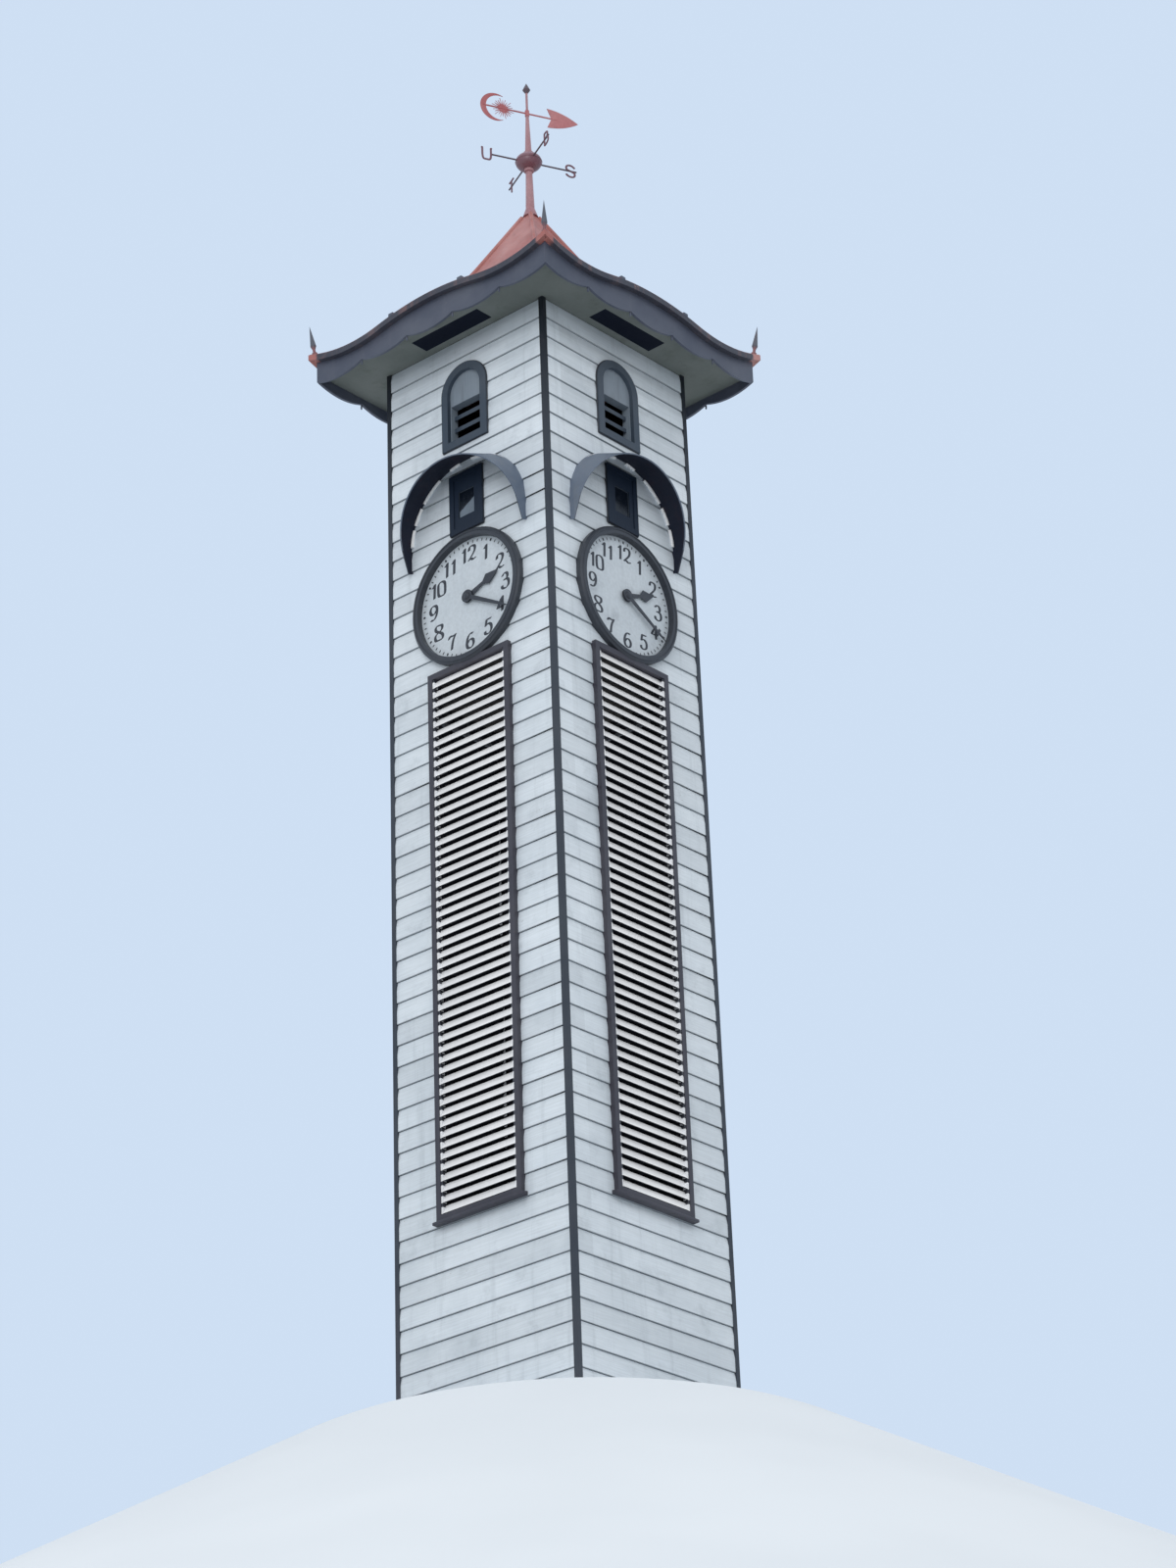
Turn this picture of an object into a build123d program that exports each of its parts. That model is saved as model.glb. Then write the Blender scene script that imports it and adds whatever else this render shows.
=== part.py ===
from build123d import *
import math
import os

# Timber clock tower: a square, slightly tapering boarded shaft with a dial on each side,
# a louvred panel below each dial, a wavy hipped roof and a wind vane.
# Millimetres, +Z up. The origin is the middle of the ground-floor slab's underside.
# The front faces -Y; the other sides are the front turned about the shaft.
# Heights on a wall are measured up its leaning face, and follow from the soffit downwards.

# Shaft
BASE_HALF = 1128
TAPER = 44
TOP_HALF = BASE_HALF - TAPER
WALL_TOP = 11944
WALL_THICK = 130
SLAB_THICK = 100
CORNER_LEG = 30
CORNER_PROUD = 25

# Arched vent window under the eaves
WINDOW_HALF = 311
WINDOW_HEIGHT = 965
WINDOW_DROP = 323
WINDOW_TOP = WALL_TOP - WINDOW_DROP
WINDOW_BOTTOM = WINDOW_TOP - WINDOW_HEIGHT
WINDOW_CASING = 85
WINDOW_PROUD = 45
WINDOW_PANEL_THICK = 95
VENT_JAMB = 12
VENT_HEIGHT = WINDOW_HEIGHT * 0.45
VENT_SLATS = 3
VENT_SLAT_THICK = 38
VENT_SLAT_SETBACK = 50
VENT_SLAT_REACH = 40
VENT_SLAT_STEEPNESS = 40

# Hatch above each dial
HATCH_HALF = 228
HATCH_HEIGHT = 694
HATCH_DROP = 330
HATCH_TOP = WINDOW_BOTTOM - HATCH_DROP
HATCH_BOTTOM = HATCH_TOP - HATCH_HEIGHT
HATCH_CASING = 62
HATCH_PROUD = 45
HATCH_STILE = 58
HATCH_TOP_RAIL = 155
HATCH_LOW_RAIL = 114
HATCH_LEAF_THICK = 35
HATCH_LEAF_BACK = 10
PANE_THICK = 6

# Dial, its rim and its hands
DIAL_R = 660
DIAL_THICK = 20
RIM_WIDTH = 80
RIM_R = DIAL_R + RIM_WIDTH
RIM_DEPTH = 90
RIM_CHAMFER = 18
RIM_GAP = 36
DIAL_HEIGHT = HATCH_BOTTOM - RIM_GAP - RIM_R
SLIP = 0.3
HOUR_AT = 70
MINUTE_AT = 120
HAND_THICK = 8
HAND_GAP = 8
HOUR_STANDOFF = 16
HOUR_LENGTH = DIAL_R * 0.675
HOUR_ROOT = 56
HOUR_NECK = HOUR_ROOT * 0.6
HOUR_SPADE_AT = HOUR_LENGTH * 0.65
HOUR_SPADE = 130
MINUTE_TRACK = 20
MINUTE_LENGTH = DIAL_R - MINUTE_TRACK
MINUTE_ROOT = 50
MINUTE_END = 30
MINUTE_TIP = 110
MINUTE_CROSS_AT = MINUTE_LENGTH - MINUTE_TIP
MINUTE_CROSS = 92
HUB_R = 68
ARBOR_R = 13
PIPE_WALL = 11

# Sheet hood over each dial: an arched sheet that slopes down as it comes forward
HOOD_GAP = 58
HOOD_HALF = RIM_R + HOOD_GAP
HOOD_RISE = 823
HOOD_SPRING = DIAL_HEIGHT + HOOD_RISE
HOOD_LEG = 235
HOOD_SHEET = 8
HOOD_FALL = 0.41
HOOD_TIP_DEPTH = 70
HOOD_DEPTH = 400

# Tall louvred panel on each side, with its slats on side battens
LOUVRE_HALF = 548
LOUVRE_BOTTOM = 2285
LOUVRE_RIM_LAP = 22
LOUVRE_TOP = DIAL_HEIGHT - RIM_R + LOUVRE_RIM_LAP
LOUVRE_MEMBER = 60
LOUVRE_PROUD = 70
LINING_DEPTH = 60
SLAT_PITCH = 110
SLAT_WIDTH = 98
SLAT_THICK = 14
SLAT_STEEPNESS = 65
SLAT_SETBACK = 8
BATTEN_WIDTH = 22

# Clock room's floor, just above the louvred panel
ROOM_FLOOR_RISE = 98
ROOM_FLOOR_TOP = LOUVRE_TOP + ROOM_FLOOR_RISE
ROOM_FLOOR_THICK = 60

# Eaves: scalloped fascia boards with a wavy top, and a flat soffit
EAVE_HALF = 1628
FASCIA_THICK = 28
EAVE_RISE = 81
EAVE_TROUGH = WALL_TOP + EAVE_RISE
EAVE_CORNER_RISE = 125
EAVE_MIDDLE_RISE = 110
EAVE_TROUGH_AT = EAVE_HALF * 0.64
SCALLOPS = 5
SCALLOP_DROP = 69
SCALLOP_CUSP = WALL_TOP - SCALLOP_DROP
SCALLOP_SAG = 60
SOFFIT_THICK = 25
VENT_LENGTH = 930
VENT_WIDTH = 225
VENT_FROM_WALL = 92
VENT_COVER_THICK = 12

# Roof: four curved slopes, steep at the mast and shallow at the eaves
ROOF_THICK = 60
ROOF_LIP = 64
ROOF_TOP_HALF = 60
ROOF_BEND_HALF = 430
ROOF_BEND_RISE = 1230
ROOF_BEND_HEIGHT = EAVE_TROUGH + ROOF_BEND_RISE
ROOF_STEEPNESS = math.radians(61.9)
ROOF_PEAK = ROOF_BEND_HEIGHT + (ROOF_BEND_HALF - ROOF_TOP_HALF) * math.tan(ROOF_STEEPNESS)
ROOF_STRIPS = 6
LEAST_SWING = 0.01

# Spikes at the four corners
SPIKE_HEIGHT = 365
SPIKE_LEAN = 9
SPIKE_STEM_R = 16
SPIKE_BULGE_R = 32
SPIKE_COLLAR_R = 30
SPIKE_INSET = 50
SPIKE_FOOT = 45
SPIKE_COLLAR_TOP = 22
SPIKE_STEM_LOW = 34
SPIKE_STEM_TOP = 70
SPIKE_BULGE_AT = 110

# Mast, ball, compass arms, spindle and vane
MAST_R = 48
MAST_TOP_R = 36
SKIRT_R = 84
SKIRT_RISE = 110
COLLAR_R = 52
COLLAR_HEIGHT = 34
BALL_RISE = 715
BALL_HEIGHT = ROOF_PEAK + BALL_RISE
BALL_R = 144
BALL_HALF = 104
BALL_FLAT = 12
ARM_R = 9
ARM_LENGTH = 560
ARM_AT = 65
SPINDLE_FOOT_R = 36
SPINDLE_R = 13
SPINDLE_NECK_R = 18
VANE_RISE = 637
VANE_HEIGHT = BALL_HEIGHT + VANE_RISE
VANE_AT = 65
VANE_PLATE = 8
VANE_ROD_R = 9
SLEEVE_R = 24
SLEEVE_HALF = 36
ARROW_TIP = 600
ARROW_LENGTH = 365
ARROW_HALF = 122
ARROW_CURVE_AT = ARROW_LENGTH * 0.45
ARROW_CURVE_HALF = ARROW_HALF * 0.78
ARROW_NOTCH = ARROW_LENGTH * 0.14
ARROW_ROD = ARROW_LENGTH * 0.3
MOON_AT = 372
MOON_R = 176
MOON_BITE_R = 158
MOON_BITE_SHIFT = 46
SUN_AT = 285
SUN_R = 44
SUN_RAY = 112
SUN_RAY_HALF = 13
SUN_RAYS = 12
BUD_R = 42
BUD_FOOT_R = 17
BUD_HEIGHT = 130
BUD_SWELL_RISE = 39
BUD_NECK_R = 23
BUD_NECK_RISE = 81
TIP_RISE = 400
OVERALL_HEIGHT = VANE_HEIGHT + TIP_RISE

SIDES = {"front": 0, "right": 90, "back": 180, "left": 270}
LEAN = math.atan((BASE_HALF - TOP_HALF) / WALL_TOP)
FAR = 2 * EAVE_HALF
FACE = Plane(origin=(0, -BASE_HALF, 0), x_dir=(1, 0, 0), z_dir=(0, -math.cos(LEAN), math.sin(LEAN)))


def save(shape, name):
    """Writes one named piece."""
    export_step(shape, f"parts/{name}.step")


def block(x0, x1, y0, y1, z0, z1):
    """A box between two corners."""
    return Pos((x0 + x1) / 2, (y0 + y1) / 2, (z0 + z1) / 2) * Box(x1 - x0, y1 - y0, z1 - z0)


def turned(shape, side):
    """A front piece turned to another side."""
    return shape.rotate(Axis.Z, SIDES[side])


def on_face(shape):
    """A piece drawn flat, with y up and z outward, laid on the leaning front wall."""
    return FACE.location * shape


def all_round(shape):
    """The same front piece on all four sides, as separate solids."""
    return Compound(children=[turned(shape, side) for side in SIDES])


def frustum(inset):
    """The shaft's tapering volume, set in from its outer faces."""
    low = Rectangle(2 * (BASE_HALF - inset), 2 * (BASE_HALF - inset))
    high = Pos(0, 0, WALL_TOP) * Rectangle(2 * (TOP_HALF - inset), 2 * (TOP_HALF - inset))
    return loft([low, high], ruled=True)


def front_wedge():
    """The quarter of space nearest the front, bounded by the two mitre planes."""
    outline = Polyline((0, 0), (-FAR, -FAR), (FAR, -FAR), close=True)
    return extrude(make_face(outline), amount=2 * OVERALL_HEIGHT)


def arch(half, bottom, top):
    """A round-headed opening's outline as a flat face."""
    spring = top - half
    sides = Polyline((-half, spring), (-half, bottom), (half, bottom), (half, spring))
    head = ThreePointArc((half, spring), (0, top), (-half, spring))
    return make_face(sides + head)


def rod(radius, length):
    """A round bar that starts at the origin and runs up."""
    return Cylinder(radius, length, align=(Align.CENTER, Align.CENTER, Align.MIN))


def slab(face, low, high):
    """A flat face given depth from one level to another."""
    return extrude(Pos(0, 0, low) * face, amount=high - low)


def between(solid, low, high):
    """The part of a solid between two heights."""
    return solid & block(-FAR, FAR, -FAR, FAR, low, high)


# Walls, floors and corner boards

def wall():
    """One wall, mitred at its corners, with its openings cut through."""
    shell = (frustum(0) - frustum(WALL_THICK)) & front_wedge()
    reach = 2 * WALL_THICK
    openings = block(-LOUVRE_HALF, LOUVRE_HALF, LOUVRE_BOTTOM, LOUVRE_TOP, -reach, reach)
    openings += block(-HATCH_HALF, HATCH_HALF, HATCH_BOTTOM, HATCH_TOP, -reach, reach)
    openings += slab(arch(WINDOW_HALF, WINDOW_BOTTOM, WINDOW_TOP), -reach, reach)
    openings += Pos(0, DIAL_HEIGHT, 0) * Cylinder(ARBOR_R + SLIP, 2 * reach)
    return shell - on_face(openings)


def corner_board():
    """An L-shaped board that covers one corner from the ground to the soffit."""
    def section(half, height):
        out = half + CORNER_PROUD
        leg = half - CORNER_LEG
        points = [(out, -out), (out, -leg), (half, -leg), (half, -half), (leg, -half), (leg, -out)]
        return Pos(0, 0, height) * make_face(Polyline(*points, close=True))
    return loft([section(BASE_HALF, 0), section(TOP_HALF, WALL_TOP)], ruled=True)


# Louvred panel

def louvre_frame():
    """The casing of the tall panel, scribed round the dial's rim where they meet."""
    inner = LOUVRE_HALF - LOUVRE_MEMBER
    frame = block(-LOUVRE_HALF, LOUVRE_HALF, LOUVRE_BOTTOM, LOUVRE_TOP, -LINING_DEPTH, LOUVRE_PROUD)
    frame -= block(-inner, inner, LOUVRE_BOTTOM + LOUVRE_MEMBER, LOUVRE_TOP - LOUVRE_MEMBER, -FAR, FAR)
    rim = Pos(0, DIAL_HEIGHT, 0) * rod(RIM_R + SLIP, 2 * RIM_DEPTH)
    return frame - rim


def louvre_blades():
    """Sloping slats let into a batten at each side, which stands against the casing."""
    low = LOUVRE_BOTTOM + LOUVRE_MEMBER
    high = LOUVRE_TOP - LOUVRE_MEMBER
    half = LOUVRE_HALF - LOUVRE_MEMBER
    steep = math.radians(SLAT_STEEPNESS)
    rise = SLAT_WIDTH * math.sin(steep)
    reach = SLAT_WIDTH * math.cos(steep)
    front = LOUVRE_PROUD - SLAT_SETBACK
    skin = SLAT_THICK / math.sin(steep)
    back = front - reach - skin
    count = int((high - low) / SLAT_PITCH)
    pitch = (high - low) / count
    panel = block(-half, -half + BATTEN_WIDTH, low, high, back, front)
    panel += block(half - BATTEN_WIDTH, half, low, high, back, front)
    slats = []
    for number in range(count):
        foot = low + number * pitch + (pitch - rise) / 2
        outline = Polyline(
            (foot, front), (foot + rise, front - reach), (foot + rise, back), (foot, front - skin),
            close=True
        )
        plane = Plane(origin=(-half, 0, 0), x_dir=(0, 1, 0), z_dir=(1, 0, 0))
        slats.append(extrude(plane * make_face(outline), amount=2 * half))
    return panel + slats


# Dial and hands

def dial():
    """The round face, seated on the wall inside its rim."""
    disc = rod(DIAL_R - SLIP, DIAL_THICK)
    disc -= Cylinder(ARBOR_R + PIPE_WALL + 2 * SLIP, 3 * DIAL_THICK)
    return Pos(0, DIAL_HEIGHT, 0) * disc


def dial_rim():
    """A deep turned ring round the dial."""
    section = Polyline(
        (DIAL_R, 0), (RIM_R, 0), (RIM_R, RIM_DEPTH - RIM_CHAMFER), (RIM_R - RIM_CHAMFER, RIM_DEPTH),
        (DIAL_R, RIM_DEPTH), close=True
    )
    ring = revolve(Plane.XZ * make_face(section), axis=Axis.Z)
    return Pos(0, DIAL_HEIGHT, 0) * ring


def hour_hand():
    """Spade-shaped hand pointing up, on a pipe that turns round the minute arbor."""
    low = DIAL_THICK + HOUR_STANDOFF
    spade = HOUR_SPADE / 2
    root = HOUR_ROOT / 2
    neck = HOUR_NECK / 2
    neck_at = HOUR_SPADE_AT - spade
    blade = Polyline((-root, 0), (root, 0), (neck, neck_at), (-neck, neck_at), close=True)
    leaf = Polyline(
        (neck, neck_at), (spade, HOUR_SPADE_AT), (0, HOUR_LENGTH), (-spade, HOUR_SPADE_AT), (-neck, neck_at),
        close=True
    )
    outline = make_face(blade) + make_face(leaf) + Circle(HUB_R)
    hand = slab(outline, low, low + HAND_THICK)
    pipe_r = ARBOR_R + SLIP + PIPE_WALL
    hand += Pos(0, 0, SLIP) * rod(pipe_r, low)
    hand -= Cylinder(ARBOR_R + SLIP, 4 * low)
    return hand


def minute_hand():
    """Long tapering hand pointing up, with its arbor running back through the wall."""
    low = DIAL_THICK + HOUR_STANDOFF + HAND_THICK + HAND_GAP
    root = MINUTE_ROOT / 2
    end = MINUTE_END / 2
    cross = MINUTE_CROSS / 2
    blade = Polyline(
        (-root, 0), (root, 0), (end, MINUTE_CROSS_AT), (0, MINUTE_LENGTH), (-end, MINUTE_CROSS_AT),
        close=True
    )
    bar = Pos(0, MINUTE_CROSS_AT - end) * Rectangle(2 * cross, 2 * end)
    outline = make_face(blade) + bar + Circle(HUB_R)
    hand = slab(outline, low, low + HAND_THICK)
    arbor = Pos(0, 0, -WALL_THICK) * rod(ARBOR_R, WALL_THICK + low)
    return hand + arbor


def set_to(hand, clock_angle):
    """A hand turned clockwise from twelve and brought to the dial's centre."""
    return Pos(0, DIAL_HEIGHT, 0) * hand.rotate(Axis.Z, -clock_angle)


# Hood, hatch and window

def hood():
    """The arched sheet, cut back along a slanting plane from its crown to its tips."""
    foot = HOOD_SPRING - HOOD_LEG
    crown = HOOD_SPRING + HOOD_HALF
    ring = arch(HOOD_HALF, foot, crown) - arch(HOOD_HALF - HOOD_SHEET, foot - 1, crown - HOOD_SHEET)
    sheet = extrude(ring, amount=2 * HOOD_DEPTH * math.hypot(1, HOOD_FALL), dir=(0, -HOOD_FALL, 1))
    tip = foot - HOOD_FALL * HOOD_TIP_DEPTH
    front = crown - HOOD_FALL * HOOD_DEPTH
    slant = (HOOD_DEPTH - HOOD_TIP_DEPTH) / (front - tip)
    top = crown + HOOD_DEPTH
    outline = Polyline(
        (tip - HOOD_TIP_DEPTH / slant, 0), (top, 0), (top, HOOD_DEPTH + slant * (top - front)), close=True
    )
    plane = Plane(origin=(-2 * HOOD_HALF, 0, 0), x_dir=(0, 1, 0), z_dir=(1, 0, 0))
    return sheet & extrude(plane * make_face(outline), amount=4 * HOOD_HALF)


def hatch_frame():
    """The square casing of the small hatch."""
    inner = HATCH_HALF - HATCH_CASING
    frame = block(-HATCH_HALF, HATCH_HALF, HATCH_BOTTOM, HATCH_TOP, -LINING_DEPTH, HATCH_PROUD)
    return frame - block(-inner, inner, HATCH_BOTTOM + HATCH_CASING, HATCH_TOP - HATCH_CASING, -FAR, FAR)


def hatch_door():
    """The hatch's framed leaf, shut in its casing."""
    half = HATCH_HALF - HATCH_CASING
    low = HATCH_BOTTOM + HATCH_CASING
    high = HATCH_TOP - HATCH_CASING
    front = HATCH_PROUD - HATCH_LEAF_BACK
    leaf = block(-half, half, low, high, front - HATCH_LEAF_THICK, front)
    inner = half - HATCH_STILE
    return leaf - block(-inner, inner, low + HATCH_LOW_RAIL, high - HATCH_TOP_RAIL, -FAR, FAR)


def hatch_pane():
    """The glass in the hatch's leaf."""
    half = HATCH_HALF - HATCH_CASING - HATCH_STILE
    low = HATCH_BOTTOM + HATCH_CASING + HATCH_LOW_RAIL
    high = HATCH_TOP - HATCH_CASING - HATCH_TOP_RAIL
    middle = HATCH_PROUD - HATCH_LEAF_BACK - HATCH_LEAF_THICK / 2
    return block(-half, half, low, high, middle - PANE_THICK / 2, middle + PANE_THICK / 2)


def window_frame():
    """The round-headed casing of the vent window."""
    outer = arch(WINDOW_HALF, WINDOW_BOTTOM, WINDOW_TOP)
    inner = arch(WINDOW_HALF - WINDOW_CASING, WINDOW_BOTTOM + WINDOW_CASING, WINDOW_TOP - WINDOW_CASING)
    return slab(outer - inner, -LINING_DEPTH, WINDOW_PROUD)


def vent_bounds():
    """The half width, low edge and high edge of the vent in the window's panel."""
    low = WINDOW_BOTTOM + WINDOW_CASING + VENT_JAMB
    return WINDOW_HALF - WINDOW_CASING - VENT_JAMB, low, low + VENT_HEIGHT


def window_panel():
    """The deep pale panel that fills the casing, with a square vent cut in it between thin jambs."""
    half, low, high = vent_bounds()
    outline = arch(WINDOW_HALF - WINDOW_CASING, WINDOW_BOTTOM + WINDOW_CASING, WINDOW_TOP - WINDOW_CASING)
    panel = slab(outline, -WINDOW_PANEL_THICK, 0)
    return panel - block(-half, half, low, high, -FAR, FAR)


def window_slat():
    """One sloping slat of the vent, at the bottom place."""
    steep = math.radians(VENT_SLAT_STEEPNESS)
    front = -VENT_SLAT_SETBACK
    back = front - VENT_SLAT_REACH
    rise = VENT_SLAT_REACH * math.tan(steep)
    skin = VENT_SLAT_THICK / math.cos(steep)
    half, low, _ = vent_bounds()
    outline = Polyline(
        (low, front), (low + skin, front), (low + skin + rise, back), (low + rise, back), close=True
    )
    plane = Plane(origin=(-half, 0, 0), x_dir=(0, 1, 0), z_dir=(1, 0, 0))
    return extrude(plane * make_face(outline), amount=2 * half)


def window_slats():
    """The vent's slats, each with an open slot above it."""
    slat = window_slat()
    _, low, high = vent_bounds()
    step = (high - low) / VENT_SLATS
    return [Pos(0, number * step, 0) * slat for number in range(VENT_SLATS)]


# Eaves and roof

def wave(level, swing, half):
    """Three arcs that meet in line: turned up at both ends, humped in the middle."""
    swing = max(swing, LEAST_SWING)
    corner = EAVE_CORNER_RISE * swing
    middle = EAVE_MIDDLE_RISE * swing
    run = half - EAVE_TROUGH_AT
    end_r = (run**2 + corner**2) / (2 * corner)
    drop = end_r - middle
    middle_r = (EAVE_TROUGH_AT**2 + drop**2 - end_r**2) / (2 * (end_r - drop))
    share = middle_r / (middle_r + end_r)
    meet = (EAVE_TROUGH_AT * share, level + middle - middle_r + (drop + middle_r) * share)
    right = ThreePointArc((half, level + corner), (EAVE_TROUGH_AT, level), meet)
    hump = ThreePointArc(meet, (0, level + middle), (-meet[0], meet[1]))
    left = ThreePointArc((-meet[0], meet[1]), (-EAVE_TROUGH_AT, level), (-half, level + corner))
    return right + hump + left


def upright(face, distance):
    """A face drawn with y up, stood parallel to the front at a distance from the axis."""
    return Plane(origin=(0, -distance, 0), x_dir=(1, 0, 0), z_dir=(0, -1, 0)) * face


def fascia():
    """One scalloped eaves board, mitred at its corners."""
    edge = EAVE_HALF + ROOF_LIP
    corner = EAVE_TROUGH + EAVE_CORNER_RISE
    outline = wave(EAVE_TROUGH, 1, edge)
    outline += Polyline((-edge, corner), (-edge, SCALLOP_CUSP), (-EAVE_HALF, SCALLOP_CUSP))
    pitch = 2 * EAVE_HALF / SCALLOPS
    for number in range(SCALLOPS):
        start = -EAVE_HALF + number * pitch
        lowest = (start + pitch / 2, SCALLOP_CUSP - SCALLOP_SAG)
        outline += ThreePointArc((start, SCALLOP_CUSP), lowest, (start + pitch, SCALLOP_CUSP))
    outline += Polyline((EAVE_HALF, SCALLOP_CUSP), (edge, SCALLOP_CUSP), (edge, corner))
    board = extrude(upright(make_face(outline), EAVE_HALF), amount=-FASCIA_THICK)
    return board & front_wedge()


def slope_profile():
    """Distance from the axis, upper height, share of the wave and upright depth, eaves to mast."""
    seat = EAVE_HALF - FASCIA_THICK
    low = EAVE_TROUGH + ROOF_THICK
    steep = ROOF_STEEPNESS
    run = seat - ROOF_BEND_HALF
    rise = ROOF_BEND_HEIGHT - low
    half_turn = steep - math.atan2(rise, run)
    radius = math.hypot(run, rise) / (2 * math.sin(half_turn))
    stations = [(EAVE_HALF + ROOF_LIP, low, 1, ROOF_THICK), (seat, low, 1, ROOF_THICK)]
    for number in range(1, ROOF_STRIPS + 1):
        angle = steep - 2 * half_turn * (1 - number / ROOF_STRIPS)
        distance = ROOF_BEND_HALF + radius * (math.sin(steep) - math.sin(angle))
        height = ROOF_BEND_HEIGHT - radius * (math.cos(angle) - math.cos(steep))
        swing = ((distance - ROOF_BEND_HALF) / run) ** 2
        stations.append((distance, height, swing, ROOF_THICK / math.cos(angle)))
    stations.append((ROOF_TOP_HALF, ROOF_PEAK, 0, ROOF_THICK / math.cos(steep)))
    return stations


def roof_slope():
    """One curved roof slope, mitred at its hips."""
    edge = EAVE_HALF + ROOF_LIP
    sections = []
    for distance, height, swing, depth in slope_profile():
        upper = wave(height, swing, edge)
        lower = wave(height - depth, swing, edge)
        rise = EAVE_CORNER_RISE * max(swing, LEAST_SWING)
        outline = upper + lower
        for end in (-edge, edge):
            outline += Line((end, height + rise), (end, height - depth + rise))
        sections.append(upright(make_face(outline), distance))
    return loft(sections, ruled=True) & front_wedge()


def soffit():
    """The flat eaves ceiling, with a slot in each side for a vent."""
    outer = EAVE_HALF - FASCIA_THICK
    inner = TOP_HALF - WALL_THICK
    board = block(-outer, outer, -outer, outer, WALL_TOP, WALL_TOP + SOFFIT_THICK)
    board -= block(-inner, inner, -inner, inner, 0, 2 * WALL_TOP)
    near = TOP_HALF + VENT_FROM_WALL
    for side in SIDES:
        slot = block(-VENT_LENGTH / 2, VENT_LENGTH / 2, -near - VENT_WIDTH, -near, 0, 2 * WALL_TOP)
        board -= turned(slot, side)
    return board


def soffit_vent():
    """The dark cover in one soffit slot."""
    near = TOP_HALF + VENT_FROM_WALL
    half = VENT_LENGTH / 2
    return block(-half, half, -near - VENT_WIDTH, -near, WALL_TOP, WALL_TOP + VENT_COVER_THICK)


# Mast and vane

def turned_piece(points):
    """A round piece from half its outline, given as radius and height."""
    return revolve(Plane.XZ * make_face(Polyline(*points, close=True)), axis=Axis.Z)


def mast():
    """The pole with its square foot between the slopes, its skirt and its collar."""
    foot = ROOF_PEAK - ROOF_THICK / math.cos(ROOF_STEEPNESS)
    seat = ROOF_PEAK + EAVE_MIDDLE_RISE * LEAST_SWING
    collar = BALL_HEIGHT - BALL_HALF + BALL_FLAT
    pole = turned_piece([
        (0, seat), (SKIRT_R, seat), (MAST_R, seat + SKIRT_RISE), (MAST_TOP_R, collar - COLLAR_HEIGHT),
        (COLLAR_R, collar - COLLAR_HEIGHT), (COLLAR_R, collar), (0, collar)
    ])
    return pole + block(-ROOF_TOP_HALF, ROOF_TOP_HALF, -ROOF_TOP_HALF, ROOF_TOP_HALF, foot, seat)


def compass_ball():
    """The flattened ball, with a flat above and below for the collars."""
    ball = scale(Sphere(BALL_R), (1, 1, BALL_HALF / BALL_R))
    flat = BALL_HALF - BALL_FLAT
    return Pos(0, 0, BALL_HEIGHT) * (ball & block(-BALL_R, BALL_R, -BALL_R, BALL_R, -flat, flat))


def compass_arm():
    """One arm, reaching out level from the ball."""
    arm = Pos(0, 0, BALL_HEIGHT) * Rot(0, 90, 0) * rod(ARM_R, ARM_LENGTH)
    return arm - compass_ball()


def spindle():
    """The rod above the ball, with the shoulder that the vane's sleeve turns on."""
    low = BALL_HEIGHT + BALL_HALF - BALL_FLAT
    shoulder = VANE_HEIGHT - SLEEVE_HALF - SLIP
    return turned_piece([
        (0, low), (COLLAR_R, low), (COLLAR_R, low + COLLAR_HEIGHT), (SPINDLE_FOOT_R, low + COLLAR_HEIGHT),
        (SPINDLE_NECK_R, shoulder), (SPINDLE_R, shoulder), (SPINDLE_R, OVERALL_HEIGHT - BUD_HEIGHT),
        (0, OVERALL_HEIGHT - BUD_HEIGHT)
    ])


def bud():
    """The pointed bud on top of the spindle."""
    low = OVERALL_HEIGHT - BUD_HEIGHT
    return turned_piece([
        (0, low), (BUD_FOOT_R, low), (BUD_R, low + BUD_SWELL_RISE), (BUD_NECK_R, low + BUD_NECK_RISE),
        (0, OVERALL_HEIGHT)
    ])


def vane():
    """Arrow, crescent and sun on a rod, with the sleeve that turns on the spindle."""
    barbs = ARROW_TIP - ARROW_LENGTH
    middle = barbs + ARROW_CURVE_AT
    outline = ThreePointArc((ARROW_TIP, 0), (middle, ARROW_CURVE_HALF), (barbs, ARROW_HALF))
    outline += Polyline((barbs, ARROW_HALF), (barbs + ARROW_NOTCH, 0), (barbs, -ARROW_HALF))
    outline += ThreePointArc((barbs, -ARROW_HALF), (middle, -ARROW_CURVE_HALF), (ARROW_TIP, 0))
    arrow = make_face(outline)
    moon = Pos(-MOON_AT, 0) * (Circle(MOON_R) - Pos(MOON_BITE_SHIFT, 0) * Circle(MOON_BITE_R))
    ray = make_face(Polyline((0, SUN_RAY_HALF), (SUN_RAY, 0), (0, -SUN_RAY_HALF), close=True))
    sun = Circle(SUN_R)
    for number in range(SUN_RAYS):
        sun += Rot(0, 0, number * 360 / SUN_RAYS) * ray
    plates = arrow + moon + Pos(-SUN_AT, 0) * sun
    standing = Plane(origin=(0, VANE_PLATE / 2, VANE_HEIGHT), x_dir=(1, 0, 0), z_dir=(0, -1, 0))
    body = extrude(standing * plates, amount=VANE_PLATE)
    reach_back = MOON_AT + MOON_R - (MOON_R - MOON_BITE_R + MOON_BITE_SHIFT) / 2
    reach_front = barbs + ARROW_ROD
    body += Pos(-reach_back, 0, VANE_HEIGHT) * Rot(0, 90, 0) * rod(VANE_ROD_R, reach_back + reach_front)
    body += Pos(0, 0, VANE_HEIGHT) * Cylinder(SLEEVE_R, 2 * SLEEVE_HALF)
    body -= Pos(0, 0, VANE_HEIGHT) * Cylinder(SPINDLE_R + SLIP, 4 * SLEEVE_HALF)
    return body.rotate(Axis.Z, VANE_AT)


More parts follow.
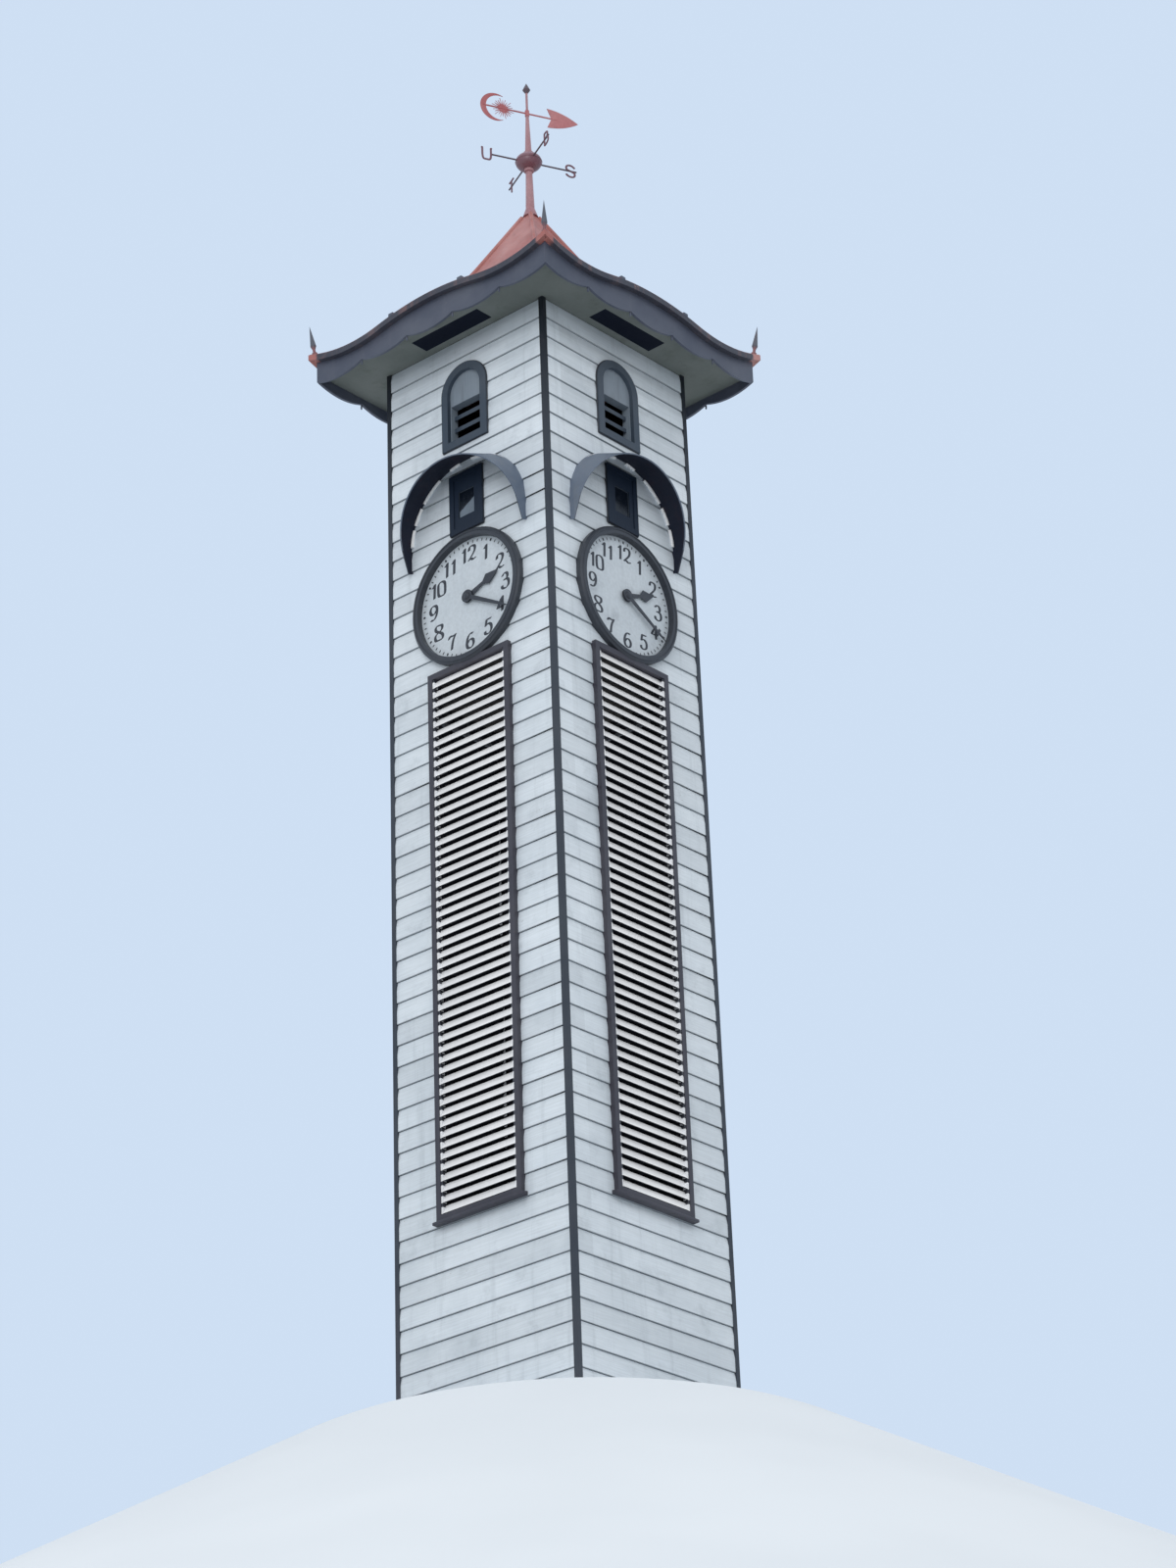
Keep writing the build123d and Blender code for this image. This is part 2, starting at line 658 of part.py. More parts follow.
def corner_spike(slopes):
    """The turned spike at the near corner, leaning outward, its foot cut to the roof that it stands on."""
    at = EAVE_HALF + ROOF_LIP - SPIKE_INSET
    base = EAVE_TROUGH + EAVE_CORNER_RISE + ROOF_THICK
    spike = turned_piece([
        (0, -SPIKE_FOOT), (SPIKE_COLLAR_R, -SPIKE_FOOT), (SPIKE_COLLAR_R, SPIKE_COLLAR_TOP),
        (SPIKE_STEM_R, SPIKE_STEM_LOW), (SPIKE_STEM_R, SPIKE_STEM_TOP), (SPIKE_BULGE_R, SPIKE_BULGE_AT),
        (0, SPIKE_HEIGHT)
    ])
    spike = spike.rotate(Axis((0, 0, 0), (1, 1, 0)), SPIKE_LEAN)
    left = Pos(at, -at, base) * spike - slopes
    return left.solids().sort_by(Axis.Z)[-1]


def main():
    """Builds every piece and writes it."""
    os.makedirs("parts", exist_ok=True)
    one_wall = wall()
    one_fascia = fascia()
    one_slope = roof_slope()
    hour = set_to(hour_hand(), HOUR_AT)
    minute = set_to(minute_hand(), MINUTE_AT)
    for side in SIDES:
        save(turned(one_wall, side), f"wall_{side}")
        save(turned(one_fascia, side), f"fascia_{side}")
        save(turned(one_slope, side), f"roof_{side}")
        save(turned(on_face(hour), side), f"hour_hand_{side}")
        save(turned(on_face(minute), side), f"minute_hand_{side}")
    save(all_round(corner_board()), "corner_boards")
    save(between(frustum(WALL_THICK), 0, SLAB_THICK), "ground_floor")
    room_low = ROOM_FLOOR_TOP - ROOM_FLOOR_THICK
    save(between(frustum(WALL_THICK), room_low, ROOM_FLOOR_TOP), "clock_room_floor")
    face_pieces = {
        "louvre_frames": louvre_frame, "louvre_blades": louvre_blades, "dials": dial, "dial_rims": dial_rim,
        "hoods": hood, "hatch_frames": hatch_frame, "hatch_doors": hatch_door, "hatch_panes": hatch_pane,
        "window_frames": window_frame, "window_panels": window_panel,
    }
    for name, make in face_pieces.items():
        save(all_round(on_face(make())), name)
    slats = [turned(on_face(slat), side) for slat in window_slats() for side in SIDES]
    save(Compound(children=slats), "window_slats")
    save(soffit(), "soffit")
    save(all_round(soffit_vent()), "soffit_vents")
    slopes = [one_slope, turned(one_slope, "right")]
    save(all_round(corner_spike(slopes)), "corner_spikes")
    save(mast(), "mast")
    save(compass_ball(), "compass_ball")
    arm = compass_arm()
    save(Compound(children=[arm.rotate(Axis.Z, ARM_AT + turn) for turn in SIDES.values()]), "compass_arms")
    save(spindle(), "spindle")
    save(bud(), "spindle_bud")
    save(vane(), "vane")


main()
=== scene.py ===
"""Timber clock tower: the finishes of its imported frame, and the trim that is added to it.

Metres, +Z up. The front faces -Y, and the other sides are the front turned about the shaft.
A piece for a wall is drawn flat, with x across, y up and z outward, and then laid on the leaning wall.
"""

import logging
import math
import random
from collections.abc import Callable, Iterator, Sequence
from contextlib import contextmanager
from dataclasses import dataclass, field
from enum import Enum
from functools import cached_property

import bmesh
import bpy
from mathutils import Matrix, Vector
from mathutils.bvhtree import BVHTree


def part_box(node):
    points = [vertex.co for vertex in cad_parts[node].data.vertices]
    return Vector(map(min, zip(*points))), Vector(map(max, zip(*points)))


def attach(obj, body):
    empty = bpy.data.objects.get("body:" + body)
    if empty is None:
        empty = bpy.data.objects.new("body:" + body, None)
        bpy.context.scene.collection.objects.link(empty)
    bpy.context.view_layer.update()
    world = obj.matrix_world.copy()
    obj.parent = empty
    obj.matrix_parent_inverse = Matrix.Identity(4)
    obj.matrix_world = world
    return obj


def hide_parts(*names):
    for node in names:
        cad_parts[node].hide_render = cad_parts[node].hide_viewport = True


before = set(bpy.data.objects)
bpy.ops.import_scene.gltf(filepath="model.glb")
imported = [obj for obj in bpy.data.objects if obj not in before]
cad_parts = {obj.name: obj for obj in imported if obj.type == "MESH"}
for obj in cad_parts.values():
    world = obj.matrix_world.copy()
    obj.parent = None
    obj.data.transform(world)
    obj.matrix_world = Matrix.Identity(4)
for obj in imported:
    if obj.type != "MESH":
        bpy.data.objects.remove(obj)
log = logging.getLogger("clock_tower")

Piece = bpy.types.Object
Socket = bpy.types.NodeSocket
Colour = tuple[float, float, float]
Spots = Sequence[tuple[float, float]]

TOWER = "tower"
TINY = 1e-4
HANDS = (-1, 1)
BOARD_COUNT = 53
BEVEL_ANGLE = math.radians(35)


class Side(Enum):
    """A wall of the tower, with its quarter turns from the front."""

    FRONT = 0
    RIGHT = 1
    BACK = 2
    LEFT = 3

    @property
    def turn(self) -> Matrix:
        """The turn from the front to this side."""
        return Matrix.Rotation(self.value * math.pi / 2, 4, "Z")

    @property
    def label(self) -> str:
        """The side's name in piece names."""
        return self.name.lower()


# Working with Blender's tools

def clear_selection() -> None:
    """Leaves edit mode and deselects everything."""
    if bpy.context.object and bpy.context.object.mode != "OBJECT":
        bpy.ops.object.mode_set(mode="OBJECT")
    bpy.ops.object.select_all(action="DESELECT")


def take(*pieces: Piece) -> None:
    """Selects only some pieces and makes the first one active.

    Args:
        pieces: The pieces to select.
    """
    clear_selection()
    for piece in pieces:
        piece.select_set(True)
    bpy.context.view_layer.objects.active = pieces[0]


def name_new(name: str) -> Piece:
    """Names the piece that was just added or changed.

    Args:
        name: The piece's name.
    Returns:
        The piece.
    """
    piece = bpy.context.object
    piece.name = name
    piece.data.name = name
    return piece


def settle(name: str) -> Piece:
    """Names the primitive that was just added and puts its place and size in its mesh."""
    bpy.ops.object.transform_apply(location=True, rotation=True, scale=True)
    return name_new(name)


def start_block(name: str, low: Sequence[float], high: Sequence[float]) -> Piece:
    """Adds a block between two corners.

    Args:
        name: The piece's name.
        low: Its lowest corner.
        high: Its highest corner.
    Returns:
        The block.
    """
    clear_selection()
    middle = [(a + b) / 2 for a, b in zip(low, high)]
    size = [b - a for a, b in zip(low, high)]
    bpy.ops.mesh.primitive_cube_add(size=1, location=middle, scale=size)
    return settle(name)


def start_disc(name: str, radius: float, corners: int, centre: Sequence[float]) -> Piece:
    """Adds a flat round face that looks along +Z.

    Args:
        name: The piece's name.
        radius: Its radius.
        corners: How many corners its edge has.
        centre: Its middle.
    Returns:
        The face as a piece.
    """
    clear_selection()
    bpy.ops.mesh.primitive_circle_add(vertices=corners, radius=radius, fill_type="NGON", location=centre)
    return settle(name)


def start_ring(
    name: str, radius: float, thick: float, facets: tuple[int, int], centre: Sequence[float]
) -> Piece:
    """Adds a round ring that lies flat.

    Args:
        name: The piece's name.
        radius: The radius of its middle line.
        thick: The radius of its section.
        facets: How many facets it has along it and round it.
        centre: Its middle.
    Returns:
        The ring.
    """
    clear_selection()
    bpy.ops.mesh.primitive_torus_add(
        major_radius=radius, minor_radius=thick, major_segments=facets[0], minor_segments=facets[1],
        location=centre,
    )
    return settle(name)


@contextmanager
def editing(piece: Piece, picks: str = "FACE") -> Iterator[bmesh.types.BMesh]:
    """Opens a piece in edit mode.

    Args:
        piece: The piece to edit.
        picks: What the select mode picks: VERT, EDGE or FACE.
    Yields:
        The piece's edit mesh, for selecting by place or normal.
    """
    take(piece)
    bpy.ops.object.mode_set(mode="EDIT")
    bpy.ops.mesh.select_mode(type=picks)
    yield bmesh.from_edit_mesh(piece.data)
    bpy.ops.object.mode_set(mode="OBJECT")


def pick_points(mesh: bmesh.types.BMesh, test: Callable[[Vector], bool]) -> None:
    """Selects just the points that pass a test, in vertex mode.

    Args:
        mesh: The edit mesh.
        test: Says of a point's place whether to pick it.
    """
    bpy.ops.mesh.select_all(action="DESELECT")
    for point in mesh.verts:
        point.select = test(point.co)
    mesh.select_flush(True)


def keep_faces(piece: Piece, test: Callable[[bmesh.types.BMFace], bool]) -> None:
    """Deletes a piece's faces, apart from those that pass a test.

    Args:
        piece: The piece.
        test: Says of a face whether it stays.
    """
    with editing(piece) as mesh:
        for face in mesh.faces:
            face.select_set(not test(face))
        mesh.select_flush_mode()
        bpy.ops.mesh.delete(type="FACE")


def apply_all(piece: Piece) -> None:
    """Applies every modifier on a piece."""
    take(piece)
    for modifier in list(piece.modifiers):
        bpy.ops.object.modifier_apply(modifier=modifier.name)


def shade(piece: Piece, angle: float = 40) -> None:
    """Shades a piece smooth where its faces turn less than an angle in degrees."""
    take(piece)
    bpy.ops.object.shade_smooth_by_angle(angle=math.radians(angle))


def soften(piece: Piece, width: float, segments: int = 2) -> None:
    """Rounds a piece's sharp edges and shades it.

    Args:
        piece: The piece.
        width: How wide the rounding is.
        segments: How many facets it has.
    """
    bevel = piece.modifiers.new("Bevel", "BEVEL")
    bevel.width = width
    bevel.segments = segments
    bevel.limit_method = "ANGLE"
    bevel.angle_limit = BEVEL_ANGLE
    apply_all(piece)
    shade(piece)


def thicken(piece: Piece, thickness: float) -> None:
    """Gives an open sheet its thickness, outward from its faces.

    Args:
        piece: The sheet.
        thickness: How thick it gets.
    """
    shell = piece.modifiers.new("Thickness", "SOLIDIFY")
    shell.thickness = thickness
    shell.offset = 1.0
    apply_all(piece)


def join(name: str, pieces: Sequence[Piece]) -> Piece:
    """Joins pieces into one.

    Args:
        name: The joined piece's name.
        pieces: The pieces.
    Returns:
        The joined piece.
    """
    take(*pieces)
    if len(pieces) > 1:
        bpy.ops.object.join()
    return name_new(name)


def move(piece: Piece, place: Matrix) -> Piece:
    """Moves a piece's mesh.

    Args:
        piece: The piece.
        place: How its mesh is moved.
    Returns:
        The piece.
    """
    piece.data.transform(place)
    piece.data.update()
    return piece


def copy_of(piece: Piece, name: str, place: Matrix) -> Piece:
    """Copies a piece with its own mesh.

    Args:
        piece: The piece to copy.
        name: The copy's name.
        place: How the copy's mesh is moved.
    Returns:
        The copy.
    """
    take(piece)
    bpy.ops.object.duplicate(linked=False)
    return move(name_new(name), place)


def all_round(piece: Piece) -> Piece:
    """Makes one piece of a front piece and its copies on the other three sides.

    Args:
        piece: The front piece.
    Returns:
        The joined piece, with the front piece's name.
    """
    name = piece.name
    copies = [copy_of(piece, f"{name}_{side.label}", side.turn) for side in list(Side)[1:]]
    return join(name, [piece, *copies])


def outward(piece: Piece) -> None:
    """Merges doubled points and turns the faces outward.

    Args:
        piece: The closed piece.
    """
    with editing(piece):
        bpy.ops.mesh.select_all(action="SELECT")
        bpy.ops.mesh.remove_doubles(threshold=TINY / 2)
        bpy.ops.mesh.normals_make_consistent(inside=False)


def piece_of_node(node: str, name: str) -> Piece:
    """Makes a new piece with a merged copy of a CAD node's mesh.

    Args:
        node: The CAD node's name.
        name: The piece's name.
    Returns:
        The piece.
    """
    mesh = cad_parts[node].data.copy()
    mesh.name = name
    piece = bpy.data.objects.new(name, mesh)
    bpy.context.collection.objects.link(piece)
    outward(piece)
    return piece


def cut_with(piece: Piece, cutter: Piece) -> None:
    """Cuts one piece out of another and removes the cutter.

    Args:
        piece: The piece that is cut.
        cutter: The piece that cuts.
    """
    boolean = piece.modifiers.new("Cut", "BOOLEAN")
    boolean.operation = "DIFFERENCE"
    boolean.solver = "EXACT"
    boolean.object = cutter
    apply_all(piece)
    bpy.data.objects.remove(cutter)


def start_line(name: str, kind: str, points: Sequence[Vector], radius: float, facets: int) -> Piece:
    """Adds a round rod as a curve.

    Args:
        name: The piece's name.
        kind: The spline's type: POLY or NURBS.
        points: The points that steer it.
        radius: The rod's radius.
        facets: Half the facets round it, less two.
    Returns:
        The curve.
    """
    clear_selection()
    bpy.ops.curve.primitive_nurbs_path_add()
    line = name_new(name)
    line.data.splines.clear()
    spline = line.data.splines.new(kind)
    spline.points.add(len(points) - 1)
    for place, point in zip(spline.points, points):
        place.co = (*point, 1)
    line.data.dimensions = "3D"
    line.data.bevel_depth = radius
    line.data.bevel_resolution = facets
    line.data.use_fill_caps = True
    return line


def mesh_of(line: Piece, name: str) -> Piece:
    """Turns a curve into a mesh.

    Args:
        line: The curve.
        name: The mesh's name.
    Returns:
        The mesh as a piece.
    """
    take(line)
    bpy.ops.object.convert(target="MESH")
    return name_new(name)


def rolled(name: str, points: Sequence[Vector], radius: float, facets: int = 3) -> Piece:
    """Makes a round rod along a line of points.

    Args:
        name: The piece's name.
        points: The points that the rod follows.
        radius: The rod's radius.
        facets: Half the facets round it, less two.
    Returns:
        The rod as a mesh.
    """
    rod = mesh_of(start_line(name, "POLY", points, radius, facets), name)
    shade(rod)
    return rod


def turned(name: str, profile: Spots, facets: int, centre: Sequence[float] = (0, 0, 0)) -> Piece:
    """Makes a piece as a lathe does, about an upright line.

    Args:
        name: The piece's name.
        profile: Each ring's radius and height, from one end to the other.
        facets: How many facets it has.
        centre: Where the profile's height is nought.
    Returns:
        The closed piece.
    """
    x, y, z = centre
    radius, level = profile[0]
    piece = start_disc(name, radius, facets, (x, y, z + level))
    with editing(piece):
        bpy.ops.mesh.select_all(action="SELECT")
        for wide, high in profile[1:]:
            bpy.ops.mesh.extrude_region_move(TRANSFORM_OT_translate={"value": (0, 0, high - level)})
            bpy.ops.transform.resize(value=(wide / radius, wide / radius, 1), center_override=centre)
            radius, level = wide, high
    outward(piece)
    return piece


def arch(half: float, spring: float, steps: int) -> list[tuple[float, float]]:
    """Points over a round arch.

    Args:
        half: The arch's radius.
        spring: The height where it springs.
        steps: How many pieces it is cut into.
    Returns:
        Each point's place across and its height, from left to right.
    """
    angles = [math.pi * (1 - step / steps) for step in range(steps + 1)]
    return [(half * math.cos(a), spring + half * math.sin(a)) for a in angles]


# The leaning walls, read from the frame

@dataclass
class Shaft:
    """The tapering shaft's front face, as the frame has it."""

    base_half: float
    top_half: float
    height: float
    boxes: dict[str, tuple[Vector, Vector]] = field(default_factory=dict)

    @classmethod
    def from_frame(cls) -> "Shaft":
        """Reads the shaft's sizes from the front wall.

        Returns:
            The shaft.
        """
        low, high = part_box("wall_front")
        top = [v.co.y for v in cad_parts["wall_front"].data.vertices if v.co.z > high.z - TINY]
        return cls(base_half=-low.y, top_half=-min(top), height=high.z)

    @property
    def lean(self) -> float:
        """The walls' lean from upright, in radians."""
        return math.atan((self.base_half - self.top_half) / self.height)

    @property
    def face(self) -> Matrix:
        """Where a flat drawing goes to lie on the front wall."""
        c, s = math.cos(self.lean), math.sin(self.lean)
        return Matrix(((1, 0, 0, 0), (0, s, -c, -self.base_half), (0, c, s, 0), (0, 0, 0, 1)))

    def flat_box(self, node: str) -> tuple[Vector, Vector]:
        """Where a node's front solid lies in the flat drawing.

        Args:
            node: The CAD node's name.
        Returns:
            Its lowest and highest corners, with x across, y up and z outward.
        """
        if node not in self.boxes:
            back = self.face.inverted()
            points = [v.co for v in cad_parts[node].data.vertices]
            flat = [back @ p for p in points if -p.y > abs(p.x) - TINY]
            self.boxes[node] = Vector(map(min, zip(*flat))), Vector(map(max, zip(*flat)))
        return self.boxes[node]


# Wiring of the materials

RAIN_STRETCH = (9, 9, 0.45)
FLAKE_STRETCH = (21, 21, 34)


class Wiring:
    """Adds nodes to one node tree and joins them."""

    def __init__(self, tree: bpy.types.NodeTree) -> None:
        """Starts with an existing tree."""
        self.tree = tree

    def add(self, kind: str, **settings: object) -> bpy.types.Node:
        """Adds a node.

        Args:
            kind: The node's type.
            settings: Its settings, by name.
        Returns:
            The node.
        """
        node = self.tree.nodes.new(kind)
        for key, value in settings.items():
            setattr(node, key, value)
        return node

    def feed(self, value: object, socket: Socket) -> None:
        """Links an output to a socket, or sets the socket's own value.

        Args:
            value: An output, or a plain value.
            socket: The input that takes it.
        """
        if isinstance(value, Socket):
            self.tree.links.new(value, socket)
        else:
            socket.default_value = value

    def put(
        self, kind: str, inputs: dict[str | int, object], output: str | int, **settings: object
    ) -> Socket:
        """Adds a node and feeds its inputs.

        Args:
            kind: The node's type.
            inputs: What each input takes, by the input's name or number.
            output: The name or number of the output that counts.
            settings: The node's settings, by name.
        Returns:
            The output.
        """
        node = self.add(kind, **settings)
        for key, value in inputs.items():
            self.feed(value, node.inputs[key])
        return node.outputs[output]

    def math(self, operation: str, a: object, b: object = 0.0, clamp: bool = False) -> Socket:
        """A Math node's result."""
        return self.put("ShaderNodeMath", {0: a, 1: b}, 0, operation=operation, use_clamp=clamp)

    def noise(self, place: object, scale: float, detail: float, rough: float) -> Socket:
        """A Noise Texture's value."""
        inputs = {"Vector": place, "Scale": scale, "Detail": detail, "Roughness": rough}
        return self.put("ShaderNodeTexNoise", inputs, "Fac")

    def stretched(self, place: object, scale: Sequence[float]) -> Socket:
        """A place with its axes scaled."""
        return self.put("ShaderNodeMapping", {"Vector": place, "Scale": scale}, "Vector")

    def span(self, value: object, low: float, high: float, start: float = 0.0, end: float = 1.0) -> Socket:
        """A value spread from one range to another, smooth and clamped."""
        inputs = dict(enumerate((value, low, high, start, end)))
        return self.put("ShaderNodeMapRange", inputs, "Result", interpolation_type="SMOOTHSTEP")

    def blend(self, share: object, a: object, b: object) -> Socket:
        """Two colours mixed by a share."""
        return self.put("ShaderNodeMix", {"Factor": share, 6: a, 7: b}, 2, data_type="RGBA")

    def toned(self, colour: object, value: object, saturation: object = 1.0) -> Socket:
        """A colour with its value and saturation changed."""
        inputs = {"Color": colour, "Value": value, "Saturation": saturation}
        return self.put("ShaderNodeHueSaturation", inputs, "Color")

    def split(self, place: object) -> tuple[Socket, ...]:
        """Takes a place apart.

        Args:
            place: The place.
        Returns:
            Its three parts.
        """
        node = self.add("ShaderNodeSeparateXYZ")
        self.feed(place, node.inputs[0])
        return tuple(node.outputs)

    def group(self, tree: bpy.types.NodeTree, **values: object) -> bpy.types.bpy_prop_collection:
        """Places a shared effect.

        Args:
            tree: The effect.
            values: Its inputs' values, by name.
        Returns:
            The effect's outputs.
        """
        node = self.add("ShaderNodeGroup", node_tree=tree)
        for key, value in values.items():
            self.feed(value, node.inputs[key])
        return node.outputs


def rgba(colour: Colour) -> tuple[float, float, float, float]:
    """A colour with full alpha."""
    return (*colour, 1.0)


def start_effect(
    name: str, inputs: dict[str, str], outputs: dict[str, str]
) -> tuple[Wiring, bpy.types.bpy_prop_collection, bpy.types.bpy_prop_collection]:
    """Starts a shared effect.

    Args:
        name: The effect's name.
        inputs: Each input's name and kind.
        outputs: Each output's name and kind.
    Returns:
        The effect's wiring, what its inputs bring and what its outputs take.
    """
    tree = bpy.data.node_groups.new(name, "ShaderNodeTree")
    kinds = {"value": "NodeSocketFloat", "colour": "NodeSocketColor", "place": "NodeSocketVector"}
    for key, kind in inputs.items():
        tree.interface.new_socket(name=key, in_out="INPUT", socket_type=kinds[kind])
    for key, kind in outputs.items():
        tree.interface.new_socket(name=key, in_out="OUTPUT", socket_type=kinds[kind])
    given, made = tree.nodes.new("NodeGroupInput"), tree.nodes.new("NodeGroupOutput")
    return Wiring(tree), given.outputs, made.inputs


def weather_effect() -> bpy.types.NodeTree:
    """Outdoor weather on paint: uneven fading, rain streaks, grime and flaked spots.

    Returns:
        The effect.
    """
    w, given, made = start_effect(
        "Weather",
        {"Place": "place", "Paint": "colour", "Grime": "colour", "Bare": "colour",
         "Fading": "value", "Soiling": "value", "Streaks": "value", "Flaking": "value"},
        {"Colour": "colour", "Wear": "value", "Height": "value"},
    )
    place = given["Place"]
    cloud = w.span(w.noise(place, scale=1.1, detail=4.0, rough=0.6), 0.3, 0.7)
    faded = w.math("MULTIPLY", w.math("SUBTRACT", cloud, 0.5), given["Fading"])
    bright = w.toned(given["Paint"], w.math("ADD", 1.0, faded), w.math("SUBTRACT", 1.0, faded))
    rain = w.noise(w.stretched(place, RAIN_STRETCH), scale=1.0, detail=3.0, rough=0.6)
    streak = w.math("MULTIPLY", w.span(rain, 0.52, 0.78), given["Streaks"], clamp=True)
    blotch = w.noise(place, scale=3.7, detail=6.0, rough=0.68)
    patch = w.math("MULTIPLY", w.span(blotch, 0.5, 0.8), given["Soiling"], clamp=True)
    soiled = w.math("MAXIMUM", streak, patch)
    dirty = w.blend(soiled, bright, given["Grime"])
    speck = w.noise(w.stretched(place, FLAKE_STRETCH), scale=1.0, detail=5.0, rough=0.7)
    where = w.span(w.noise(place, scale=2.3, detail=2.0, rough=0.5), 0.5, 0.62)
    flaked = w.math("MULTIPLY", w.span(speck, 0.66, 0.69), where)
    flaked = w.math("MULTIPLY", flaked, given["Flaking"], clamp=True)
    w.feed(w.blend(flaked, dirty, given["Bare"]), made["Colour"])
    w.feed(w.math("MAXIMUM", soiled, flaked), made["Wear"])
    w.feed(w.math("MULTIPLY", flaked, -1.0), made["Height"])
    return w.tree


def brush_effect() -> bpy.types.NodeTree:
    """Brush marks or grain, long along one axis, with fine roughness.

    Returns:
        The effect.
    """
    w, given, made = start_effect(
        "Brush Marks", {"Place": "place", "Stretch": "place"}, {"Height": "value", "Tone": "value"}
    )
    scaled = w.put("ShaderNodeVectorMath", {0: given["Place"], 1: given["Stretch"]}, 0, operation="MULTIPLY")
    marks = w.noise(scaled, scale=1.0, detail=5.0, rough=0.62)
    fine = w.noise(given["Place"], scale=90.0, detail=2.0, rough=0.5)
    w.feed(w.math("ADD", w.math("MULTIPLY", marks, 0.8), w.math("MULTIPLY", fine, 0.2)), made["Height"])
    w.feed(w.span(marks, 0.3, 0.7), made["Tone"])
    return w.tree


def board_effect() -> bpy.types.NodeTree:
    """The joints of level boards, the part of each board above its lap for painted shade, and a tone for each
    board, from the height up the wall.

    Returns:
        The effect.
    """
    w, given, made = start_effect(
        "Board Joints",
        {"Place": "place", "Pitch": "value"},
        {"Joint": "value", "Tone": "value", "Lap": "value"},
    )
    x, y, z = w.split(given["Place"])
    count = w.math("DIVIDE", z, given["Pitch"])
    share = w.math("FRACT", count)
    joint = w.math("MAXIMUM", w.span(share, 0.0, 0.035, 1.0, 0.0), w.span(share, 0.975, 1.0))
    w.feed(joint, made["Joint"])
    # Painted shade: the part of each board above its lap.
    w.feed(w.span(share, 0.56, 0.66), made["Lap"])
    along = w.math("MULTIPLY", w.math("ADD", x, w.math("MULTIPLY", y, 1.7)), 0.28)
    length = w.math("FLOOR", w.math("ADD", along, 0.1))
    seed = w.put("ShaderNodeCombineXYZ", {0: w.math("FLOOR", count), 1: length}, 0)
    tone = w.put("ShaderNodeTexWhiteNoise", {"Vector": seed}, "Value", noise_dimensions="3D")
    w.feed(tone, made["Tone"])
    return w.tree


EFFECTS = {"weather": weather_effect(), "brush": brush_effect(), "boards": board_effect()}


# Finishes

class Grain(Enum):
    """Which way brush marks or grain run on a surface."""

    LEVEL = (3.0, 3.0, 120.0)
    UPRIGHT = (90.0, 90.0, 3.0)
    EVEN = (26.0, 26.0, 26.0)


def start_material(name: str) -> tuple[bpy.types.Material, Wiring, bpy.types.Node, Socket]:
    """Starts a material.

    Args:
        name: The material's name.
    Returns:
        The material, its wiring, its shader and the Object coordinates.
    """
    material = bpy.data.materials.new(name)
    material.use_nodes = True
    w = Wiring(material.node_tree)
    shader = material.node_tree.nodes["Principled BSDF"]
    return material, w, shader, w.add("ShaderNodeTexCoord").outputs["Object"]


@dataclass(frozen=True)
class Finish:
    """A named finish, made as a material once."""

    name: str

    def material(self) -> bpy.types.Material:
        """Builds the material, or returns it if it exists."""
        return bpy.data.materials.get(self.name) or self.build()

    def build(self) -> bpy.types.Material:
        """Builds the material."""
        return start_material(self.name)[0]


@dataclass(frozen=True)
class Paint(Finish):
    """A weathered paint."""

    colour: Colour
    grime: Colour = (0.10, 0.11, 0.11)
    bare: Colour = (0.30, 0.26, 0.22)
    rough: float = 0.5
    coat: float = 0.0
    coat_rough: float = 0.25
    fading: float = 0.12
    soiling: float = 0.25
    streaks: float = 0.2
    flaking: float = 0.4
    grain: Grain = Grain.EVEN
    relief: float = 0.0012
    relief_strength: float = 0.6
    shine: float = 0.5

    def clean(self, w: Wiring, place: Socket) -> object:
        """The clean paint's colour, from the material's wiring and the Object coordinates."""
        return rgba(self.colour)

    def build(self) -> bpy.types.Material:
        """Builds the material: weather and brush marks on the clean paint.

        Returns:
            The material.
        """
        material, w, shader, place = start_material(self.name)
        shader.inputs["Specular IOR Level"].default_value = self.shine
        shader.inputs["Coat Weight"].default_value = self.coat
        shader.inputs["Coat Roughness"].default_value = self.coat_rough
        worn = w.group(
            EFFECTS["weather"], Place=place, Paint=self.clean(w, place), Grime=rgba(self.grime),
            Bare=rgba(self.bare), Fading=self.fading, Soiling=self.soiling, Streaks=self.streaks,
            Flaking=self.flaking,
        )
        marks = w.group(EFFECTS["brush"], Place=place, Stretch=self.grain.value)
        tone = w.span(marks["Tone"], 0.0, 1.0, 0.94, 1.03)
        w.feed(w.toned(worn["Colour"], tone), shader.inputs["Base Color"])
        wear = w.math("MULTIPLY", worn["Wear"], 0.3)
        ripple = w.math("MULTIPLY", w.math("SUBTRACT", marks["Tone"], 0.5), 0.12)
        rough = w.math("ADD", w.math("ADD", self.rough, wear), ripple, clamp=True)
        w.feed(rough, shader.inputs["Roughness"])
        height = w.math("ADD", marks["Height"], worn["Height"])
        inputs = {"Distance": self.relief, "Strength": self.relief_strength, "Height": height}
        w.feed(w.put("ShaderNodeBump", inputs, "Normal"), shader.inputs["Normal"])
        return material


@dataclass(frozen=True)
class BoardPaint(Paint):
    """Paint on level boards, with dark joints, a soft step of painted shade where each board steps back at
    its lap, and a tone for each board.
    """

    pitch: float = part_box("wall_front")[1].z / BOARD_COUNT
    joint: Colour = (0.10, 0.11, 0.12)
    joint_share: float = 0.6

    def clean(self, w: Wiring, place: Socket) -> Socket:
        """The boards' colour.

        Args:
            w: The material's wiring.
            place: The Object coordinates.
        Returns:
            The colour.
        """
        boards = w.group(EFFECTS["boards"], Place=place, Pitch=self.pitch)
        tone = w.span(boards["Tone"], 0.0, 1.0, 0.93, 1.05)
        # Painted shade: each board a little darker above its lap than below it.
        lap = w.span(boards["Lap"], 0.0, 1.0, 1.01, 0.975)
        board = w.toned(rgba(self.colour), w.math("MULTIPLY", tone, lap))
        return w.blend(w.math("MULTIPLY", boards["Joint"], self.joint_share), board, rgba(self.joint))


